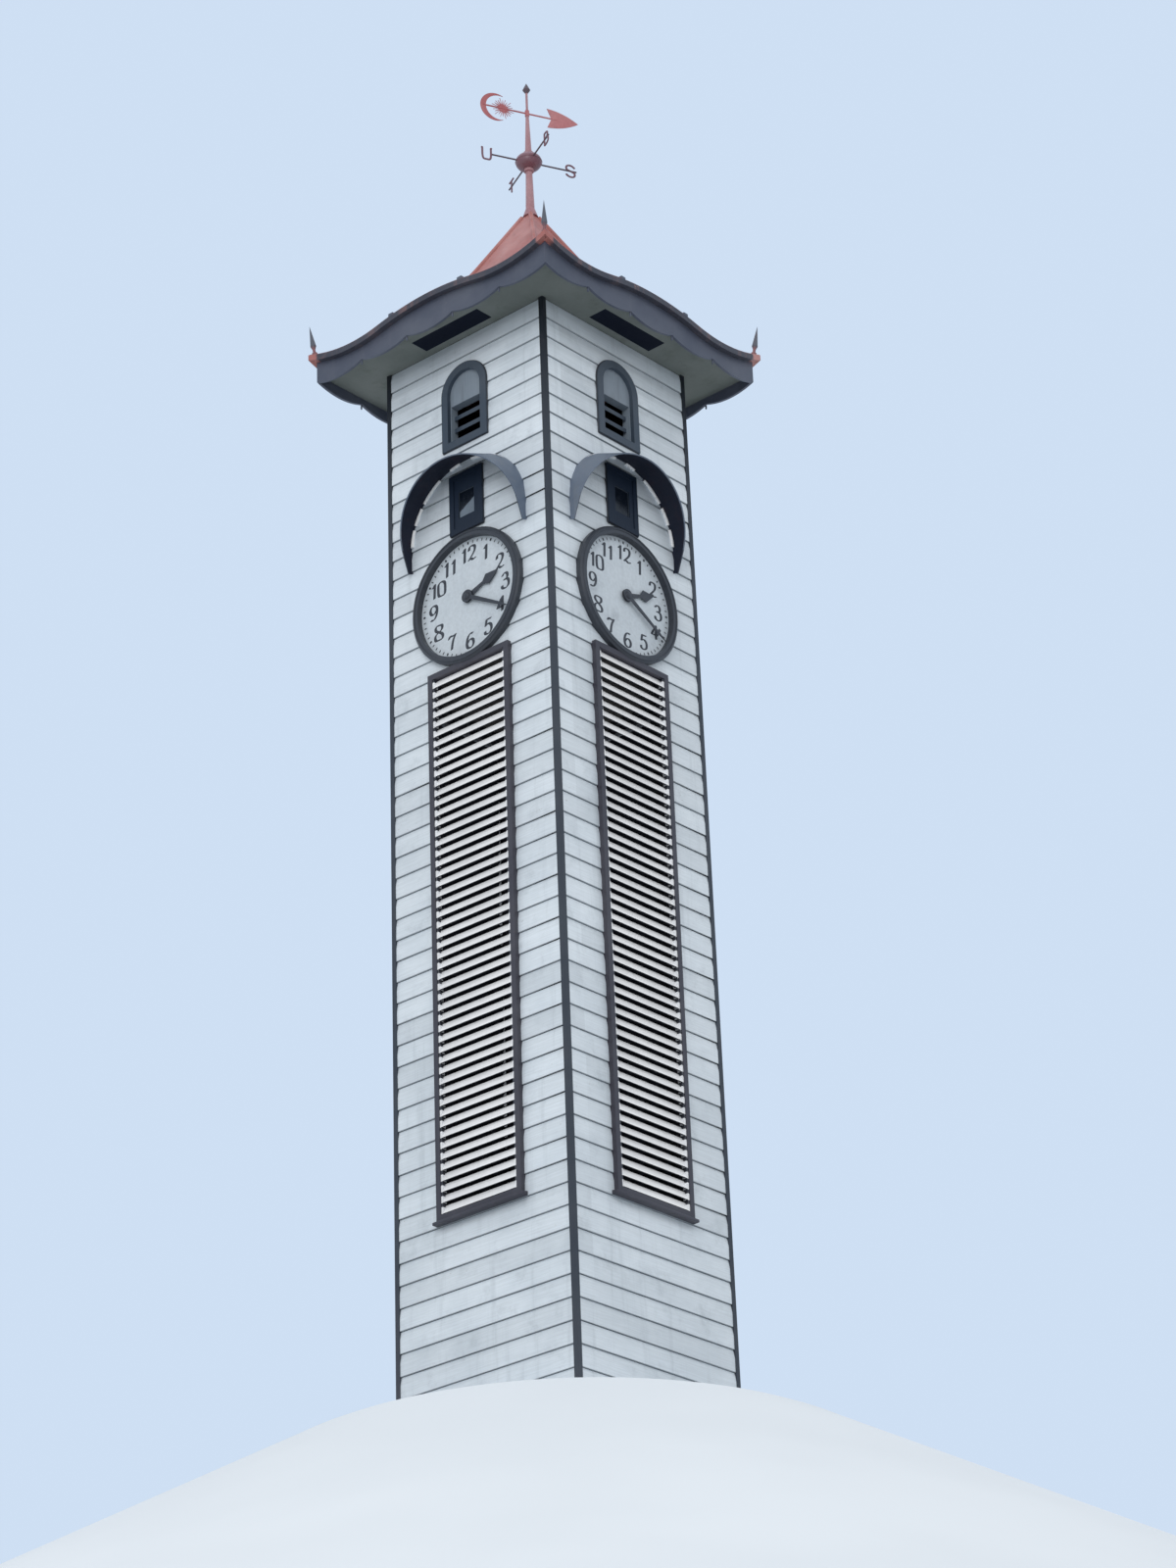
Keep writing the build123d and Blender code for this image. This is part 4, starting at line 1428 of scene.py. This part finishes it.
@dataclass
class DialWork(SubAssembly):
    """Numerals, minute dots, rim beads and hub caps of the four dials."""

    pen: Pen = Pen()
    figure_height: float = 0.168
    figure_width: float = 0.165
    figure_ink: float = 0.6
    figure_step: float = 0.098
    figure_radius: float = 0.492
    dot_radius: float = 0.622
    dot_long: float = 0.030
    dot_wide: float = 0.011
    dot_raised: float = 0.0025
    dot_edge: float = 0.0012
    hour_dot: float = 1.9
    bead_radius: float = 0.009
    bead_inset: float = 0.032
    bead_sink: float = 0.004
    bead_facets: tuple[int, int] = (128, 12)
    cap_profile: Spots = ((0.04, 0.0), (0.0376, 0.0072), (0.027824, 0.0135), (0.01113, 0.018))
    cap_facets: int = 40
    crease: float = 60

    @cached_property
    def centre(self) -> Vector:
        """The middle of the dial's front, in the flat drawing."""
        low, high = self.shaft.flat_box("dials")
        return Vector((0, (low.y + high.y) / 2, high.z))

    def build(self) -> None:
        """Makes the pieces of the dials."""
        self.keep_round(self.figures(), self.finishes.hand, "hand_black")
        self.keep_round(self.dots(), self.finishes.hand, "hand_black")
        self.keep_round(self.rim_bead(), self.finishes.rim, "rim_slate")
        for side in Side:
            cap = move(self.lay(self.hub_cap(side)), side.turn)
            self.keep(cap, self.finishes.hand, "hand_black", f"minute_{side.label}_train")

    def figures(self) -> Piece:
        """Writes the twelve upright figures with the pen.

        Returns:
            The figures as one piece.
        """
        made = []
        size = (self.figure_width, self.figure_height)
        for hour in range(1, 13):
            angle = math.radians(30 * hour)
            spot = Vector((math.sin(angle), math.cos(angle), 0)) * self.figure_radius
            text = str(hour)
            width = self.figure_step * (len(text) - 1) + self.figure_width * self.figure_ink
            for place, digit in enumerate(text):
                corner = self.centre + spot - Vector((width / 2, self.figure_height / 2, 0))
                corner.x += place * self.figure_step
                for stroke in FIGURE_STROKES[digit]:
                    piece = self.pen.stroke(f"figure_{hour}_{place}", stroke, size)
                    made.append(move(piece, Matrix.Translation(corner)))
        figures = join("dial_figures", made)
        outward(figures)
        shade(figures, self.crease)
        return figures

    def dots(self) -> Piece:
        """Makes the sixty dots of the minute track, larger at the hours.

        Returns:
            The dots as one piece.
        """
        made = []
        for minute in range(60):
            scale = self.hour_dot if minute % 5 == 0 else 1.0
            wide, long = self.dot_wide * scale / 2, self.dot_long / 2
            dot = start_block(f"dot_{minute}", (-wide, -long, 0), (wide, long, self.dot_raised))
            turn = Matrix.Rotation(-math.radians(6 * minute), 4, "Z")
            place = Matrix.Translation(self.centre) @ turn @ Matrix.Translation((0, self.dot_radius, 0))
            made.append(move(dot, place))
        dots = join("minute_dots", made)
        soften(dots, self.dot_edge, 1)
        return dots

    def rim_bead(self) -> Piece:
        """Makes the raised bead round the front of the rim.

        Returns:
            The bead.
        """
        low, high = self.shaft.flat_box("dial_rims")
        radius = (high.y - low.y) / 2 - self.bead_inset
        centre = (0, self.centre.y, high.z)
        bead = start_ring("dial_rim_beads", radius, self.bead_radius, self.bead_facets, centre)
        with editing(bead):
            bpy.ops.mesh.select_all(action="SELECT")
            seat = (0, 0, high.z - self.bead_sink)
            bpy.ops.mesh.bisect(plane_co=seat, plane_no=(0, 0, 1), clear_inner=True, use_fill=True)
        shade(bead)
        return bead

    def hub_cap(self, side: Side) -> Piece:
        """Turns the domed cap on a minute hand's hub.

        Args:
            side: The side whose name the cap gets.
        Returns:
            The cap, as a flat drawing.
        """
        front = self.shaft.flat_box("minute_hand_front")[1].z
        name = f"minute_hub_cap_{side.label}"
        cap = turned(name, self.cap_profile, self.cap_facets, (0, self.centre.y, front))
        shade(cap, self.crease)
        return cap


@dataclass
class RoofWork(SubAssembly):
    """Ribs, hip rolls, edge rolls and a dark strip of painted shade under the lip, on the curved slopes."""

    rib_at: float = 0.49
    rib_radius: float = 0.024
    rib_foot: float = 0.03
    rib_head: float = 0.01
    hip_radius: float = 0.026
    hip_start: float = 0.05
    hip_end: float = 0.062
    hip_sink: float = 0.004
    edge_radius: float = 0.013
    edge_inset: float = 0.0145
    edge_end: float = 0.01
    strip_thick: float = 0.002
    block_half: float = 0.034
    block_deep: float = 0.060
    block_low: float = 0.012
    block_high: float = 0.040
    block_back: float = 0.002
    block_edge: float = 0.010
    probe_in: float = 0.01
    probe_shares: tuple[float, ...] = (1.0, 0.997, 0.994)
    steps: int = 40

    @cached_property
    def edge(self) -> float:
        """How far the eaves reach from the middle."""
        return -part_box("roof_front")[0].y

    @cached_property
    def peak(self) -> float:
        """The height of the slopes' top."""
        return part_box("roof_front")[1].z

    @cached_property
    def surface(self) -> BVHTree:
        """The front and right slopes, for finding heights.

        Returns:
            The slopes as one tree of faces.
        """
        points, faces = [], []
        for node in ("roof_front", "roof_right"):
            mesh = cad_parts[node].data
            start = len(points)
            points += [v.co.copy() for v in mesh.vertices]
            faces += [[start + i for i in f.vertices] for f in mesh.polygons]
        return BVHTree.FromPolygons(points, faces)

    def build(self) -> None:
        """Makes the rolls of the roof."""
        ribs = join("roof_ribs", [self.rib(hand) for hand in HANDS])
        self.keep(all_round(ribs), self.finishes.roof, "roof_red")
        blocks = join("rib_blocks", [self.rib_block(hand) for hand in HANDS])
        self.keep(all_round(blocks), self.finishes.fascia, "fascia_slate")
        self.keep(all_round(self.hip()), self.finishes.roof, "roof_red")
        self.keep(all_round(self.eave_roll()), self.finishes.roll, "roof_red")
        self.keep(all_round(self.lip_strip()), self.finishes.lip, "roof_red")

    def height(self, x: float, y: float) -> float:
        """Measures the roof's height, just beside a hip where the place lies on it.

        Args:
            x: The place across.
            y: The place along.
        Returns:
            The height.
        """
        for share in self.probe_shares:
            hit = self.surface.ray_cast(Vector((x * share, y, self.peak + 1)), Vector((0, 0, -1)))[0]
            if hit:
                return hit.z
        return self.peak

    def path(self, start: tuple[float, float], end: tuple[float, float], lift: float = 0.0) -> list[Vector]:
        """Draws a line over the roof between two places.

        Args:
            start: The first place.
            end: The last place.
            lift: How far the line lies off the roof.
        Returns:
            The line's points.
        """
        made = []
        for step in range(self.steps + 1):
            share = step / self.steps
            x = start[0] + (end[0] - start[0]) * share
            y = start[1] + (end[1] - start[1]) * share
            made.append(Vector((x, y, self.height(x, y) + lift)))
        return made

    def rib(self, hand: int) -> Piece:
        """Rolls one rib from the eaves up to the hip.

        Args:
            hand: The side of the slope.
        Returns:
            The rib.
        """
        x = hand * self.rib_at
        line = self.path((x, self.rib_foot - self.edge), (x, -self.rib_at - self.rib_head))
        return rolled(f"rib_{hand}", line, self.rib_radius)

    def rib_block(self, hand: int) -> Piece:
        """Makes the rounded block that ends a rib on the lip.

        Args:
            hand: The side of the slope.
        Returns:
            The block.
        """
        x = hand * self.rib_at
        front = self.block_back - self.edge
        top = self.height(x, front + self.probe_in)
        low = (x - self.block_half, front, top - self.block_low)
        high = (x + self.block_half, front + self.block_deep, top + self.block_high)
        block = start_block(f"rib_block_{hand}", low, high)
        soften(block, self.block_edge, 3)
        return block

    def hip(self) -> Piece:
        """Rolls the near hip, from the corner to the mast.

        Returns:
            The roll.
        """
        reach = self.edge - self.hip_start
        line = self.path((reach, -reach), (self.hip_end, -self.hip_end), -self.hip_sink)
        return rolled("hip_rolls", line, self.hip_radius)

    def lip_strip(self) -> Piece:
        """Makes a dark strip of painted shade on the underside of the lip, in front of the eaves board.

        Returns:
            The strip, kept within the eaves.
        """
        strip = piece_of_node("roof_front", "lip_strips")
        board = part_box("fascia_front")[0].y
        with editing(strip):
            bpy.ops.mesh.select_all(action="SELECT")
            bpy.ops.mesh.bisect(plane_co=(0, board, 0), plane_no=(0, 1, 0), clear_outer=True)
        keep_faces(strip, lambda face: face.normal.z <= -0.5)
        thicken(strip, self.strip_thick)
        for point in strip.data.vertices:
            point.co.x = max(-self.edge, min(self.edge, point.co.x))
        shade(strip)
        return strip

    def eave_roll(self) -> Piece:
        """Rolls the thin edge along the wavy lip.

        Returns:
            The roll.
        """
        y = self.edge_inset - self.edge
        end = self.edge - self.edge_end
        return rolled("eave_rolls", self.path((-end, y), (end, y)), self.edge_radius)


LETTER_STROKES = {
    "S": [[(0.90, 0.80), (0.70, 1.02), (0.15, 1.00), (0.08, 0.62), (0.50, 0.50), (0.94, 0.38), (0.86, 0.00),
           (0.30, -0.02), (0.08, 0.20)]],
    "T": [[(0.05, 1.00), (0.95, 1.00)], [(0.50, 1.00), (0.50, 0.00)]],
    "U": [[(0.00, 1.00), (0.10, 1.00), (0.10, 1.00), (0.10, 0.00), (0.50, 0.00), (0.90, 0.00), (0.90, 1.00),
           (0.90, 1.00), (1.00, 1.00)]],
    "B": [[(0.15, 0.00), (0.15, 1.00)],
          [(0.15, 1.00), (0.80, 1.05), (0.85, 0.56), (0.15, 0.52), (0.15, 0.52), (0.95, 0.52), (0.95, -0.05),
           (0.15, 0.00)]],
}


@dataclass
class VaneWork(SubAssembly):
    """Compass letters on their arms, the ball's band and the rays of the vane's sun."""

    letters: dict[int, str] = field(default_factory=lambda: {65: "S", 155: "T", 245: "U", 335: "B"})
    facing_back: str = "TU"
    pen: Pen = Pen(half_broad=0.0125, half_thin=0.0105, angle=0.0, raised=0.0090, steps=6)
    letter_height: float = 0.145
    letter_width: float = 0.125
    letter_reach: float = 0.490
    letter_crease: float = 60
    arm_overlap: float = 0.005
    band_thick: float = 0.005
    band_sink: float = 0.001
    band_facets: tuple[int, int] = (64, 10)
    vane_turn: float = 65.0
    vane_rise: float = 0.637
    sun_at: float = 0.285
    ray_count: int = 12
    ray_start: float = 0.035
    ray_long: float = 0.132
    ray_short: float = 0.118
    ray_radius: float = 0.0035

    @cached_property
    def arm_height(self) -> float:
        """The height of the compass arms, at the ball's middle."""
        low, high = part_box("compass_ball")
        return (low.z + high.z) / 2

    def build(self) -> None:
        """Makes the letters, the arms, the rays and the band."""
        letters = [self.letter(angle, text) for angle, text in self.letters.items()]
        self.keep(join("compass_letters", letters), self.finishes.letter, "rod_dark")
        arms = self.keep(self.arms(), self.finishes.rod, "rod_dark")
        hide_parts("compass_arms")
        self.keep(self.sun_rays(), self.finishes.vane, "mast_red", "vane_body")
        self.keep(self.ball_band(), self.finishes.ball, "ball_maroon")

    def letter(self, angle: float, text: str) -> Piece:
        """Bends one upright letter of rod at its arm's end.

        Args:
            angle: The arm's direction, in degrees.
            text: The letter.
        Returns:
            The letter.
        """
        size = (self.letter_width, self.letter_height)
        strokes = [
            self.pen.stroke(f"letter_{text}_{number}", [(x - 0.5, y - 0.5) for x, y in stroke], size)
            for number, stroke in enumerate(LETTER_STROKES[text])
        ]
        facing = math.pi if text in self.facing_back else 0
        place = (
            Matrix.Translation((0, 0, self.arm_height))
            @ Matrix.Rotation(math.radians(angle), 4, "Z")
            @ Matrix.Translation((self.letter_reach, 0, 0))
            @ Matrix.Rotation(facing, 4, "Z")
            @ Matrix.Rotation(math.pi / 2, 4, "X")
        )
        letter = move(join(f"letter_{text}", strokes), place)
        outward(letter)
        shade(letter, self.letter_crease)
        return letter

    def arms(self) -> Piece:
        """Copies the compass arms and cuts the one that bears the U off beside it.

        Returns:
            The arms.
        """
        arms = piece_of_node("compass_arms", "compass_rods")
        angle = next(math.radians(a) for a, text in self.letters.items() if text == "U")
        along = Vector((math.cos(angle), math.sin(angle), 0))
        end = along * (self.letter_reach - self.letter_width / 2 + self.arm_overlap)
        with editing(arms):
            bpy.ops.mesh.select_all(action="SELECT")
            bpy.ops.mesh.bisect(plane_co=end, plane_no=along, clear_outer=True, use_fill=True)
        outward(arms)
        shade(arms)
        return arms

    def sun_rays(self) -> Piece:
        """Rolls the long thin rays that are soldered to the vane's sun.

        Returns:
            The rays as one piece.
        """
        angle = math.radians(self.vane_turn)
        along = Vector((math.cos(angle), math.sin(angle), 0))
        centre = Vector((0, 0, self.arm_height + self.vane_rise)) - along * self.sun_at
        made = []
        for number in range(self.ray_count):
            turn = 2 * math.pi * (number + 0.5) / self.ray_count
            ray = along * math.cos(turn) + Vector((0, 0, math.sin(turn)))
            reach = self.ray_long if number % 2 else self.ray_short
            ends = [centre + ray * self.ray_start, centre + ray * reach]
            made.append(rolled(f"ray_{number}", ends, self.ray_radius, 1))
        return join("sun_rays", made)

    def ball_band(self) -> Piece:
        """Makes the thin band round the ball where its halves meet.

        Returns:
            The band.
        """
        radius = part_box("compass_ball")[1].x - self.band_sink
        band = start_ring("ball_band", radius, self.band_thick, self.band_facets, (0, 0, self.arm_height))
        shade(band)
        return band


@dataclass
class HoodWork(SubAssembly):
    """Dark inner sheets, edge rolls and painted light slits of the sheet hoods; the inner sheets are dark
    paint, deepened as painted shade.
    """

    fall: float = 0.41
    tip_depth: float = 0.070
    lining_thick: float = 0.0015
    inner_share: float = 0.6
    edge_radius: float = 0.006
    seal_out: float = 0.030
    seal_gap: float = 0.027
    seal_radius: float = 0.018
    seal_spans: Spots = ((74, 84), (40, 62), (22, 36), (4, 18))
    seal_steps: int = 8
    steps: int = 36

    @cached_property
    def half(self) -> float:
        """The hood's half width."""
        return self.shaft.flat_box("hoods")[1].x

    @cached_property
    def spring(self) -> float:
        """The height where the arch springs, at the wall."""
        return self.shaft.flat_box("hoods")[1].y - self.half

    def build(self) -> None:
        """Makes the pieces of the hoods."""
        self.keep_round(self.lining(), self.finishes.hood_lining, "hood_grey")
        self.keep_round(self.edge_roll(), self.finishes.hood, "hood_grey")
        self.keep_round(self.seals(), self.finishes.sealant, "white_boards")

    def lining(self) -> Piece:
        """Makes the thin near-black sheet on the inner faces of the front hood's sheet: dark paint, deepened
        as painted shade.

        Returns:
            The sheet, as a flat drawing.
        """
        lining = move(piece_of_node("hoods", "hood_linings"), self.shaft.face.inverted())
        keep_faces(lining, self.is_inner)
        thicken(lining, self.lining_thick)
        shade(lining)
        return lining

    def is_inner(self, face: bmesh.types.BMFace) -> bool:
        """Tells whether a face of the flat drawing looks at the middle of the front hood.

        Args:
            face: The face.
        Returns:
            Whether it does.
        """
        spot = face.calc_center_median()
        if spot.z < 0 or abs(spot.x) > self.half:
            return False
        level = min(spot.y, self.spring - self.fall * spot.z)
        inward = Vector((-spot.x, level - spot.y, 0))
        return inward.length > TINY and face.normal.dot(inward.normalized()) > self.inner_share

    def edge_roll(self) -> Piece:
        """Rolls the edge along the front of the sheet, up one leg, round the arch and down the other.

        Returns:
            The roll, as a flat drawing.
        """
        low, high = self.shaft.flat_box("hoods")
        half = self.half - self.edge_radius
        foot = low.y + self.fall * self.tip_depth
        front = high.y - self.fall * high.z
        slant = (high.z - self.tip_depth) / (front - low.y)
        points = []
        for x, level in [(-half, foot), *arch(half, self.spring, self.steps), (half, foot)]:
            out = (self.tip_depth + slant * (level - low.y)) / (1 + slant * self.fall)
            points.append(Vector((x, level - self.fall * out, out - self.edge_radius)))
        return rolled("hood_edges", points, self.edge_radius)

    def seals(self) -> Piece:
        """Rolls the broken white lines of painted light between the sheet and the boards, where light shows
        through the gap.

        Returns:
            The light slits as one piece, as a flat drawing.
        """
        reach = self.half - self.seal_gap
        made = []
        for hand in HANDS:
            for low, high in self.seal_spans:
                points = []
                for step in range(self.seal_steps + 1):
                    angle = math.radians(low + (high - low) * step / self.seal_steps)
                    x, y = hand * reach * math.cos(angle), self.spring + reach * math.sin(angle)
                    points.append(Vector((x, y, self.seal_out)))
                made.append(rolled(f"seal_{hand}_{low}", points, self.seal_radius))
        return join("hood_seals", made)


@dataclass
class OpeningWork(SubAssembly):
    """Beads on the casings, one of them a painted shadow line, blinds behind the hatches' glass, painted
    shade on the slats' hidden faces, and sills under the panels.
    """

    bead_radius: float = 0.010
    bead_out: float = 0.024
    hatch_radius: float = 0.008
    pane_radius: float = 0.006
    blind_gap: float = 0.012
    blind_thick: float = 0.003
    blind_edge: float = 0.001
    back_thick: float = 0.001
    hidden_share: float = 0.3
    sill_low: float = 0.030
    sill_high: float = 0.014
    sill_side: float = 0.035
    sill_back: float = 0.004
    sill_proud: float = 0.022
    sill_edge: float = 0.004
    steps: int = 28

    def build(self) -> None:
        """Makes the pieces of the openings."""
        self.keep_round(self.window_bead(), self.finishes.hand, "slate_trim")
        self.keep_round(self.hatch_bead(), self.finishes.hand, "slate_trim")
        self.keep_round(self.louvre_sill(), self.finishes.plum, "plum_trim")
        self.keep_round(self.blind(), self.finishes.blind, "vent_dark")
        self.keep(self.slat_backs(), self.finishes.slat_shade, "plum_trim")
        self.keep_round(self.pane_bead(), self.finishes.slate, "slate_trim")

    def window_bead(self) -> Piece:
        """Rolls the near-black bead where the arched casing meets the boards, as painted shade: the shadow
        line at the casing's outer edge.

        Returns:
            The bead, as a flat drawing.
        """
        low, high = self.shaft.flat_box("window_frames")
        half = high.x
        left, right = (-half, low.y), (half, low.y)
        ring = [left, *arch(half, high.y - half, self.steps), right, left]
        return rolled("window_beads", [Vector((x, y, self.bead_out)) for x, y in ring], self.bead_radius)

    def hatch_bead(self) -> Piece:
        """Rolls the dark bead round the square casing."""
        return self.square_bead("hatch_beads", "hatch_frames", self.bead_out, self.hatch_radius)

    def pane_bead(self) -> Piece:
        """Rolls the slim bead that holds the pane."""
        out = self.shaft.flat_box("hatch_panes")[1].z
        return self.square_bead("pane_beads", "hatch_panes", out, self.pane_radius)

    def slat_backs(self) -> Piece:
        """Makes painted shade: near-black sheets over the slats' rear faces and undersides, so that the gaps
        between them look dark.

        Returns:
            The shade sheets.
        """
        shade_sheets = piece_of_node("louvre_blades", "slat_backs")
        keep_faces(shade_sheets, self.is_hidden)
        thicken(shade_sheets, self.back_thick)
        shade(shade_sheets)
        return shade_sheets

    def is_hidden(self, face: bmesh.types.BMFace) -> bool:
        """Tells whether a slat's face looks down or into the shaft.

        Args:
            face: The face.
        Returns:
            Whether it does.
        """
        spot = face.calc_center_median()
        inward = Vector((-spot.x, 0, 0)) if abs(spot.x) > abs(spot.y) else Vector((0, -spot.y, 0))
        share = max(-face.normal.z, face.normal.dot(inward.normalized()))
        return share > self.hidden_share

    def blind(self) -> Piece:
        """Makes the dark blind behind the pane.

        Returns:
            The blind, as a flat drawing.
        """
        low, high = self.shaft.flat_box("hatch_panes")
        back = low.z - self.blind_gap
        blind = start_block("hatch_blinds", (low.x, low.y, back - self.blind_thick), (high.x, high.y, back))
        soften(blind, self.blind_edge)
        return blind

    def louvre_sill(self) -> Piece:
        """Makes the sloping sill under the louvred panel.

        Returns:
            The sill, as a flat drawing.
        """
        low, high = self.shaft.flat_box("louvre_frames")
        side = high.x + self.sill_side
        foot = (-side, low.y - self.sill_low, self.sill_back)
        top = (side, low.y + self.sill_high, high.z + self.sill_proud)
        sill = start_block("louvre_sills", foot, top)
        with editing(sill, "VERT") as mesh:
            pick_points(mesh, lambda p: p.y > low.y and p.z > high.z)
            bpy.ops.transform.translate(value=(0, -self.sill_high, 0))
        soften(sill, self.sill_edge)
        return sill


@dataclass
class EaveWork(SubAssembly):
    """Small turned drops at the cusps of the scalloped eaves boards."""

    scallops: int = 5
    drop_profile: Spots = (
        (0.006, 0.006), (0.006, -0.010), (0.006, -0.013), (0.011, -0.020), (0.008, -0.034), (0.0105, -0.044),
        (0.007, -0.055), (0.0014, -0.061),
    )
    drop_in: float = 0.012
    facets: int = 10
    crease: float = 50

    def build(self) -> None:
        """Makes the drops."""
        self.keep(all_round(self.drops()), self.finishes.fascia, "fascia_slate")

    def drops(self) -> Piece:
        """Turns one drop and hangs its copies under the front board.

        Returns:
            The drops as one piece.
        """
        low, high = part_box("fascia_front")
        pitch = 2 * high.x / self.scallops
        one = turned("eave_drop", self.drop_profile, self.facets)
        shade(one, self.crease)
        made = []
        for number in range(1, self.scallops):
            spot = Matrix.Translation((number * pitch - high.x, low.y + self.drop_in, self.cusp_height()))
            made.append(copy_of(one, f"eave_drop_{number}", spot))
        bpy.data.objects.remove(one)
        return join("eave_drops", made)

    def cusp_height(self) -> float:
        """Measures the height of the points between the scallops, at the board's lower corner.

        Returns:
            The height.
        """
        points = [v.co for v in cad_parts["fascia_front"].data.vertices]
        end = max(p.x for p in points)
        return min(p.z for p in points if p.x > end - TINY)


# Studio

@dataclass
class Studio:
    """A pale floor, soft light and the photograph's camera."""

    eye_turn: float = 41.62
    eye_distance: float = 39.628
    eye_height: float = -12.615
    pitch: float = 26.481
    yaw: float = 0.567
    roll: float = -2.124
    lens_px: float = 2088.66
    image_height_px: float = 1600.0
    closer: float = 2.15
    film: float = 36.0
    sight: float = 400
    level_r: float = 2.4
    bend_steps: int = 6
    bend_step: float = 0.12
    bend: float = 0.43
    slope: float = 0.55
    floor_r: float = 90.0
    floor_corners: int = 128
    floor_crease: float = 30
    floor_low: Colour = (0.70, 0.76, 0.82)
    floor_high: Colour = (0.73, 0.79, 0.85)
    floor_rough: float = 0.9
    pale: Colour = (0.62, 0.74, 0.90)
    lamp_at: tuple[float, float, float] = (13, -22, 15)
    lamp_aim: tuple[float, float, float] = (0, 0, 8)
    lamp_size: float = 14
    lamp_energy: float = 1300

    def build(self) -> None:
        """Makes the camera, the floor and the light."""
        self.camera()
        self.floor()
        self.world()
        self.key_light()
        bpy.context.scene.view_settings.view_transform = "Standard"

    def camera(self) -> None:
        """Stands the camera where the photograph was taken, and brings it closer by its lens alone."""
        turn, pitch, roll = (math.radians(a) for a in (self.eye_turn, self.pitch, self.roll))
        eye_x, eye_y = self.eye_distance * math.sin(turn), -self.eye_distance * math.cos(turn)
        eye = Vector((eye_x, eye_y, self.eye_height))
        look = math.atan2(-eye.x, -eye.y) + math.radians(self.yaw)
        level, rise = math.cos(pitch), math.sin(pitch)
        forward = Vector((math.sin(look) * level, math.cos(look) * level, rise))
        right = forward.cross(Vector((0, 0, 1))).normalized()
        up = right.cross(forward)
        rolled_right = right * math.cos(roll) + up * math.sin(roll)
        rolled_up = up * math.cos(roll) - right * math.sin(roll)
        axes = Matrix((rolled_right, rolled_up, -forward)).transposed().to_4x4()
        clear_selection()
        bpy.ops.object.camera_add()
        camera = bpy.context.object
        camera.name = "photograph_camera"
        camera.matrix_world = Matrix.Translation(eye) @ axes
        camera.data.sensor_width = self.film
        camera.data.lens = self.lens_px / self.image_height_px * self.film * self.closer
        camera.data.clip_end = self.sight
        bpy.context.scene.camera = camera

    def floor(self) -> None:
        """Makes a pale floor, level round the foot, that falls away as a studio sweep does."""
        outs = [step * self.bend_step for step in range(self.bend_steps + 1)]
        rings = [(self.level_r + out, -self.bend * out * out) for out in outs]
        last_r, last_z = rings[-1]
        rings.append((self.floor_r, last_z - self.slope * (self.floor_r - last_r)))
        floor = start_disc("studio_floor", self.level_r, self.floor_corners, (0, 0, 0))
        with editing(floor, "EDGE"):
            bpy.ops.mesh.select_all(action="SELECT")
            bpy.ops.mesh.delete(type="ONLY_FACE")
            bpy.ops.mesh.select_all(action="SELECT")
            for (r0, z0), (r1, z1) in zip(rings, rings[1:]):
                bpy.ops.mesh.extrude_region_move(TRANSFORM_OT_translate={"value": (0, 0, z1 - z0)})
                bpy.ops.transform.resize(value=(r1 / r0, r1 / r0, 1), center_override=(0, 0, 0))
        with editing(floor, "VERT") as mesh:
            pick_points(mesh, lambda p: p.z > -TINY)
            bpy.ops.mesh.edge_face_add()
            bpy.ops.mesh.select_all(action="SELECT")
            bpy.ops.mesh.normals_make_consistent(inside=False)
        shade(floor, self.floor_crease)
        material, w, shader, place = start_material("Studio Floor")
        tone = w.span(w.noise(place, scale=0.35, detail=2.0, rough=0.5), 0.3, 0.7)
        w.feed(w.blend(tone, rgba(self.floor_low), rgba(self.floor_high)), shader.inputs["Base Color"])
        shader.inputs["Roughness"].default_value = self.floor_rough
        floor.data.materials.append(material)

    def world(self) -> None:
        """Makes soft light from above, less from below, and a plain pale backdrop."""
        world = bpy.data.worlds.new("Studio World")
        bpy.context.scene.world = world
        world.use_nodes = True
        w = Wiring(world.node_tree)
        rise = w.split(w.add("ShaderNodeTexCoord").outputs["Generated"])[2]
        level = w.span(rise, -0.35, 0.75, 0.32, 1.15)
        path = w.add("ShaderNodeLightPath").outputs
        seen = w.math("MAXIMUM", path["Is Camera Ray"], path["Is Glossy Ray"])
        seen = w.math("MAXIMUM", seen, path["Is Transmission Ray"])
        light = w.blend(level, rgba((0, 0, 0)), rgba((1, 1, 1)))
        w.feed(w.blend(seen, light, rgba(self.pale)), world.node_tree.nodes["Background"].inputs["Color"])

    def key_light(self) -> None:
        """Hangs one large soft lamp in front and above."""
        clear_selection()
        bpy.ops.object.light_add(type="AREA", location=self.lamp_at)
        lamp = bpy.context.object
        lamp.name = "soft_key"
        lamp.data.shape = "DISK"
        lamp.data.size = self.lamp_size
        lamp.data.energy = self.lamp_energy
        aim = Vector(self.lamp_aim) - lamp.location
        lamp.rotation_euler = aim.to_track_quat("-Z", "Y").to_euler()


def main() -> None:
    """Builds the studio and every part of the tower."""
    logging.basicConfig(level=logging.INFO, format="%(name)s: %(message)s")
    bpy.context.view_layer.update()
    shaft = Shaft.from_frame()
    finishes = Finishes()
    Studio().build()
    dress_nodes(finishes)
    for part in (Boarding, OpeningWork, DialWork, HoodWork, EaveWork, RoofWork, VaneWork):
        assembly = part(shaft, finishes)
        assembly.build()
        log.info("%s: %d pieces", part.__name__, len(assembly.pieces))


if __name__ == "__main__":
    main()
